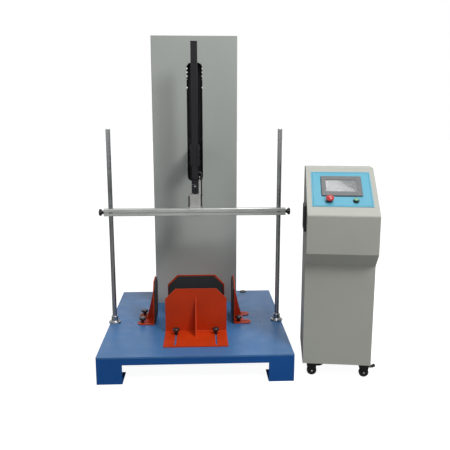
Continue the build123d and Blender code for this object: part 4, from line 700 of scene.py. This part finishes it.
def screen_film():
    """Clear film over the screen unit."""
    low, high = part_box("hmi_screen")
    place = Matrix.Translation((low + high) / 2 + panel_normal * FILM_LIFT) @ panel_turn
    bm = bmesh.new()
    grid = []
    for row in range(FILM_ROWS + 1):
        v = row / FILM_ROWS
        line = []
        for column in range(FILM_COLUMNS + 1):
            u = column / FILM_COLUMNS
            point = Vector(((u - 0.5) * FILM_WIDTH, (v - 0.5) * FILM_HEIGHT, film_height(u, v)))
            line.append(bm.verts.new(place @ point))
        grid.append(line)
    for lower, upper in zip(grid, grid[1:]):
        for column in range(FILM_COLUMNS):
            bm.faces.new((lower[column], lower[column + 1], upper[column + 1], upper[column]))
    finish_piece("screen_film", bm, film_plastic, "console", sharp=180)


def rear_panel_screws():
    """Screws up both sides of the console's rear service panel."""
    low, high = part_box("console_rear_panel")
    middle = (low + high) / 2
    bm = bmesh.new()
    for z in spread(low.z + REAR_SCREW_MARGIN, high.z - REAR_SCREW_MARGIN, REAR_SCREW_ROWS):
        for side in (-1, 1):
            spot = middle + console_right * side * (REAR_PANEL_HALF_WIDTH - REAR_SCREW_INSET)
            spot += console_back * REAR_PANEL_SHEET / 2
            spot.z = z
            pan_screw(bm, facing(spot, console_back), REAR_HEAD_RADIUS)
    finish_piece("rear_panel_screws", bm, zinc_metal, "console")


def fan_filter():
    """Dark foam behind the fan's slats."""
    low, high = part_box("fan_grille")
    place = facing((low + high) / 2 + console_right * FAN_FILTER_INSET, -console_right)
    bm = bmesh.new()
    slab(bm, place, FAN_FILTER, FAN_FILTER_ROUNDING)
    finish_piece("fan_filter", bm, pad_rubber, "console")


def caster_details():
    """Axle nuts and the swivel head's ball race on each caster."""
    for word in caster_words:
        axle = Vector(joints["caster_%s_roll" % word]["pos_m"])
        bm = bmesh.new()
        for outward in (-console_back, console_back):
            nut = facing(axle + outward * NUT_PLACE, outward)
            hex_nut(bm, nut, NUT_ACROSS, NUT_HEIGHT, AXLE_RADIUS)
        finish_piece("axle_nuts_" + word, bm, zinc_metal, "caster_fork_" + word)
        race = facing(swivel[word] - Vector((0, 0, BALL_RACE_DROP)), (0, 0, 1))
        bm = bmesh.new()
        turned(bm, race, BALL_RACE_PROFILE, segments=32)
        finish_piece("ball_race_" + word, bm, caster_paint, "caster_fork_" + word)


# Studio
FLOOR_REACH = 30
FLOOR_GREY = 0.36
FLOOR_GLOW = 0.94
WORLD_LIGHT = 0.2
LAMP_TARGET = station + Vector((0.1, 0, 0.8))
lamps = [
    ("key", Vector((2.4, -3.4, 4.2)), 1.4, 130),
    ("fill", Vector((-3.4, -3.8, 2.2)), 3.0, 12),
    ("top", Vector((0.9, -0.8, 5.0)), 2.6, 95),
]


def area_light(name, place, size, power):
    """A soft square lamp that points at the object. size is in metres, power in watts."""
    data = bpy.data.lights.new(name, "AREA")
    data.shape = "SQUARE"
    data.size = size
    data.energy = power
    lamp = bpy.data.objects.new(name, data)
    lamp.location = place
    lamp.rotation_euler = (LAMP_TARGET - place).to_track_quat("-Z", "Y").to_euler()
    bpy.context.scene.collection.objects.link(lamp)


def make_floor():
    """A pale floor that reads as white to the camera and keeps the object's soft shadow."""
    mesh = bpy.data.meshes.new("floor")
    edge = corners(2 * FLOOR_REACH, 2 * FLOOR_REACH)
    mesh.from_pydata([(x, y, 0) for x, y in edge], [], [(0, 1, 2, 3)])
    floor = bpy.data.objects.new("floor", mesh)
    bpy.context.scene.collection.objects.link(floor)
    material, tree, shader, _ = new_material("floor")
    shader.inputs["Base Color"].default_value = (FLOOR_GREY, FLOOR_GREY, FLOOR_GREY, 1)
    shader.inputs["Roughness"].default_value = 0.9
    shader.inputs["Emission Color"].default_value = (1, 1, 1, 1)
    path = tree.nodes.new("ShaderNodeLightPath")
    glow = tree.nodes.new("ShaderNodeMath")
    glow.operation = "MULTIPLY"
    glow.inputs[1].default_value = FLOOR_GLOW
    tree.links.new(path.outputs["Is Camera Ray"], glow.inputs[0])
    tree.links.new(glow.outputs[0], shader.inputs["Emission Strength"])
    mesh.materials.append(material)


def make_world():
    """Even soft light, with white behind the object for the camera, in reflections and through glass."""
    world = bpy.data.worlds.new("studio")
    bpy.context.scene.world = world
    world.use_nodes = True
    tree = world.node_tree
    background = tree.nodes["Background"]
    background.inputs["Color"].default_value = (1, 1, 1, 1)
    path = tree.nodes.new("ShaderNodeLightPath")
    white = path.outputs["Is Camera Ray"]
    for ray in ("Is Glossy Ray", "Is Transmission Ray"):
        either = tree.nodes.new("ShaderNodeMath")
        either.operation = "MAXIMUM"
        tree.links.new(white, either.inputs[0])
        tree.links.new(path.outputs[ray], either.inputs[1])
        white = either.outputs[0]
    strength = tree.nodes.new("ShaderNodeMapRange")
    strength.inputs["To Min"].default_value = WORLD_LIGHT
    strength.inputs["To Max"].default_value = 1.0
    tree.links.new(white, strength.inputs["Value"])
    tree.links.new(strength.outputs["Result"], background.inputs["Strength"])


make_camera()
dress_cad_nodes()
flange_screws()
cover_screws()
clamp_screws()
bracket_welds()
knob_caps()
gripper_screws()
panel_lines()
screen_film()
rear_panel_screws()
fan_filter()
caster_details()
for lamp_name, lamp_place, lamp_size, lamp_power in lamps:
    area_light(lamp_name, station + lamp_place, lamp_size, lamp_power)
make_floor()
make_world()
bpy.context.scene.view_settings.view_transform = "Standard"
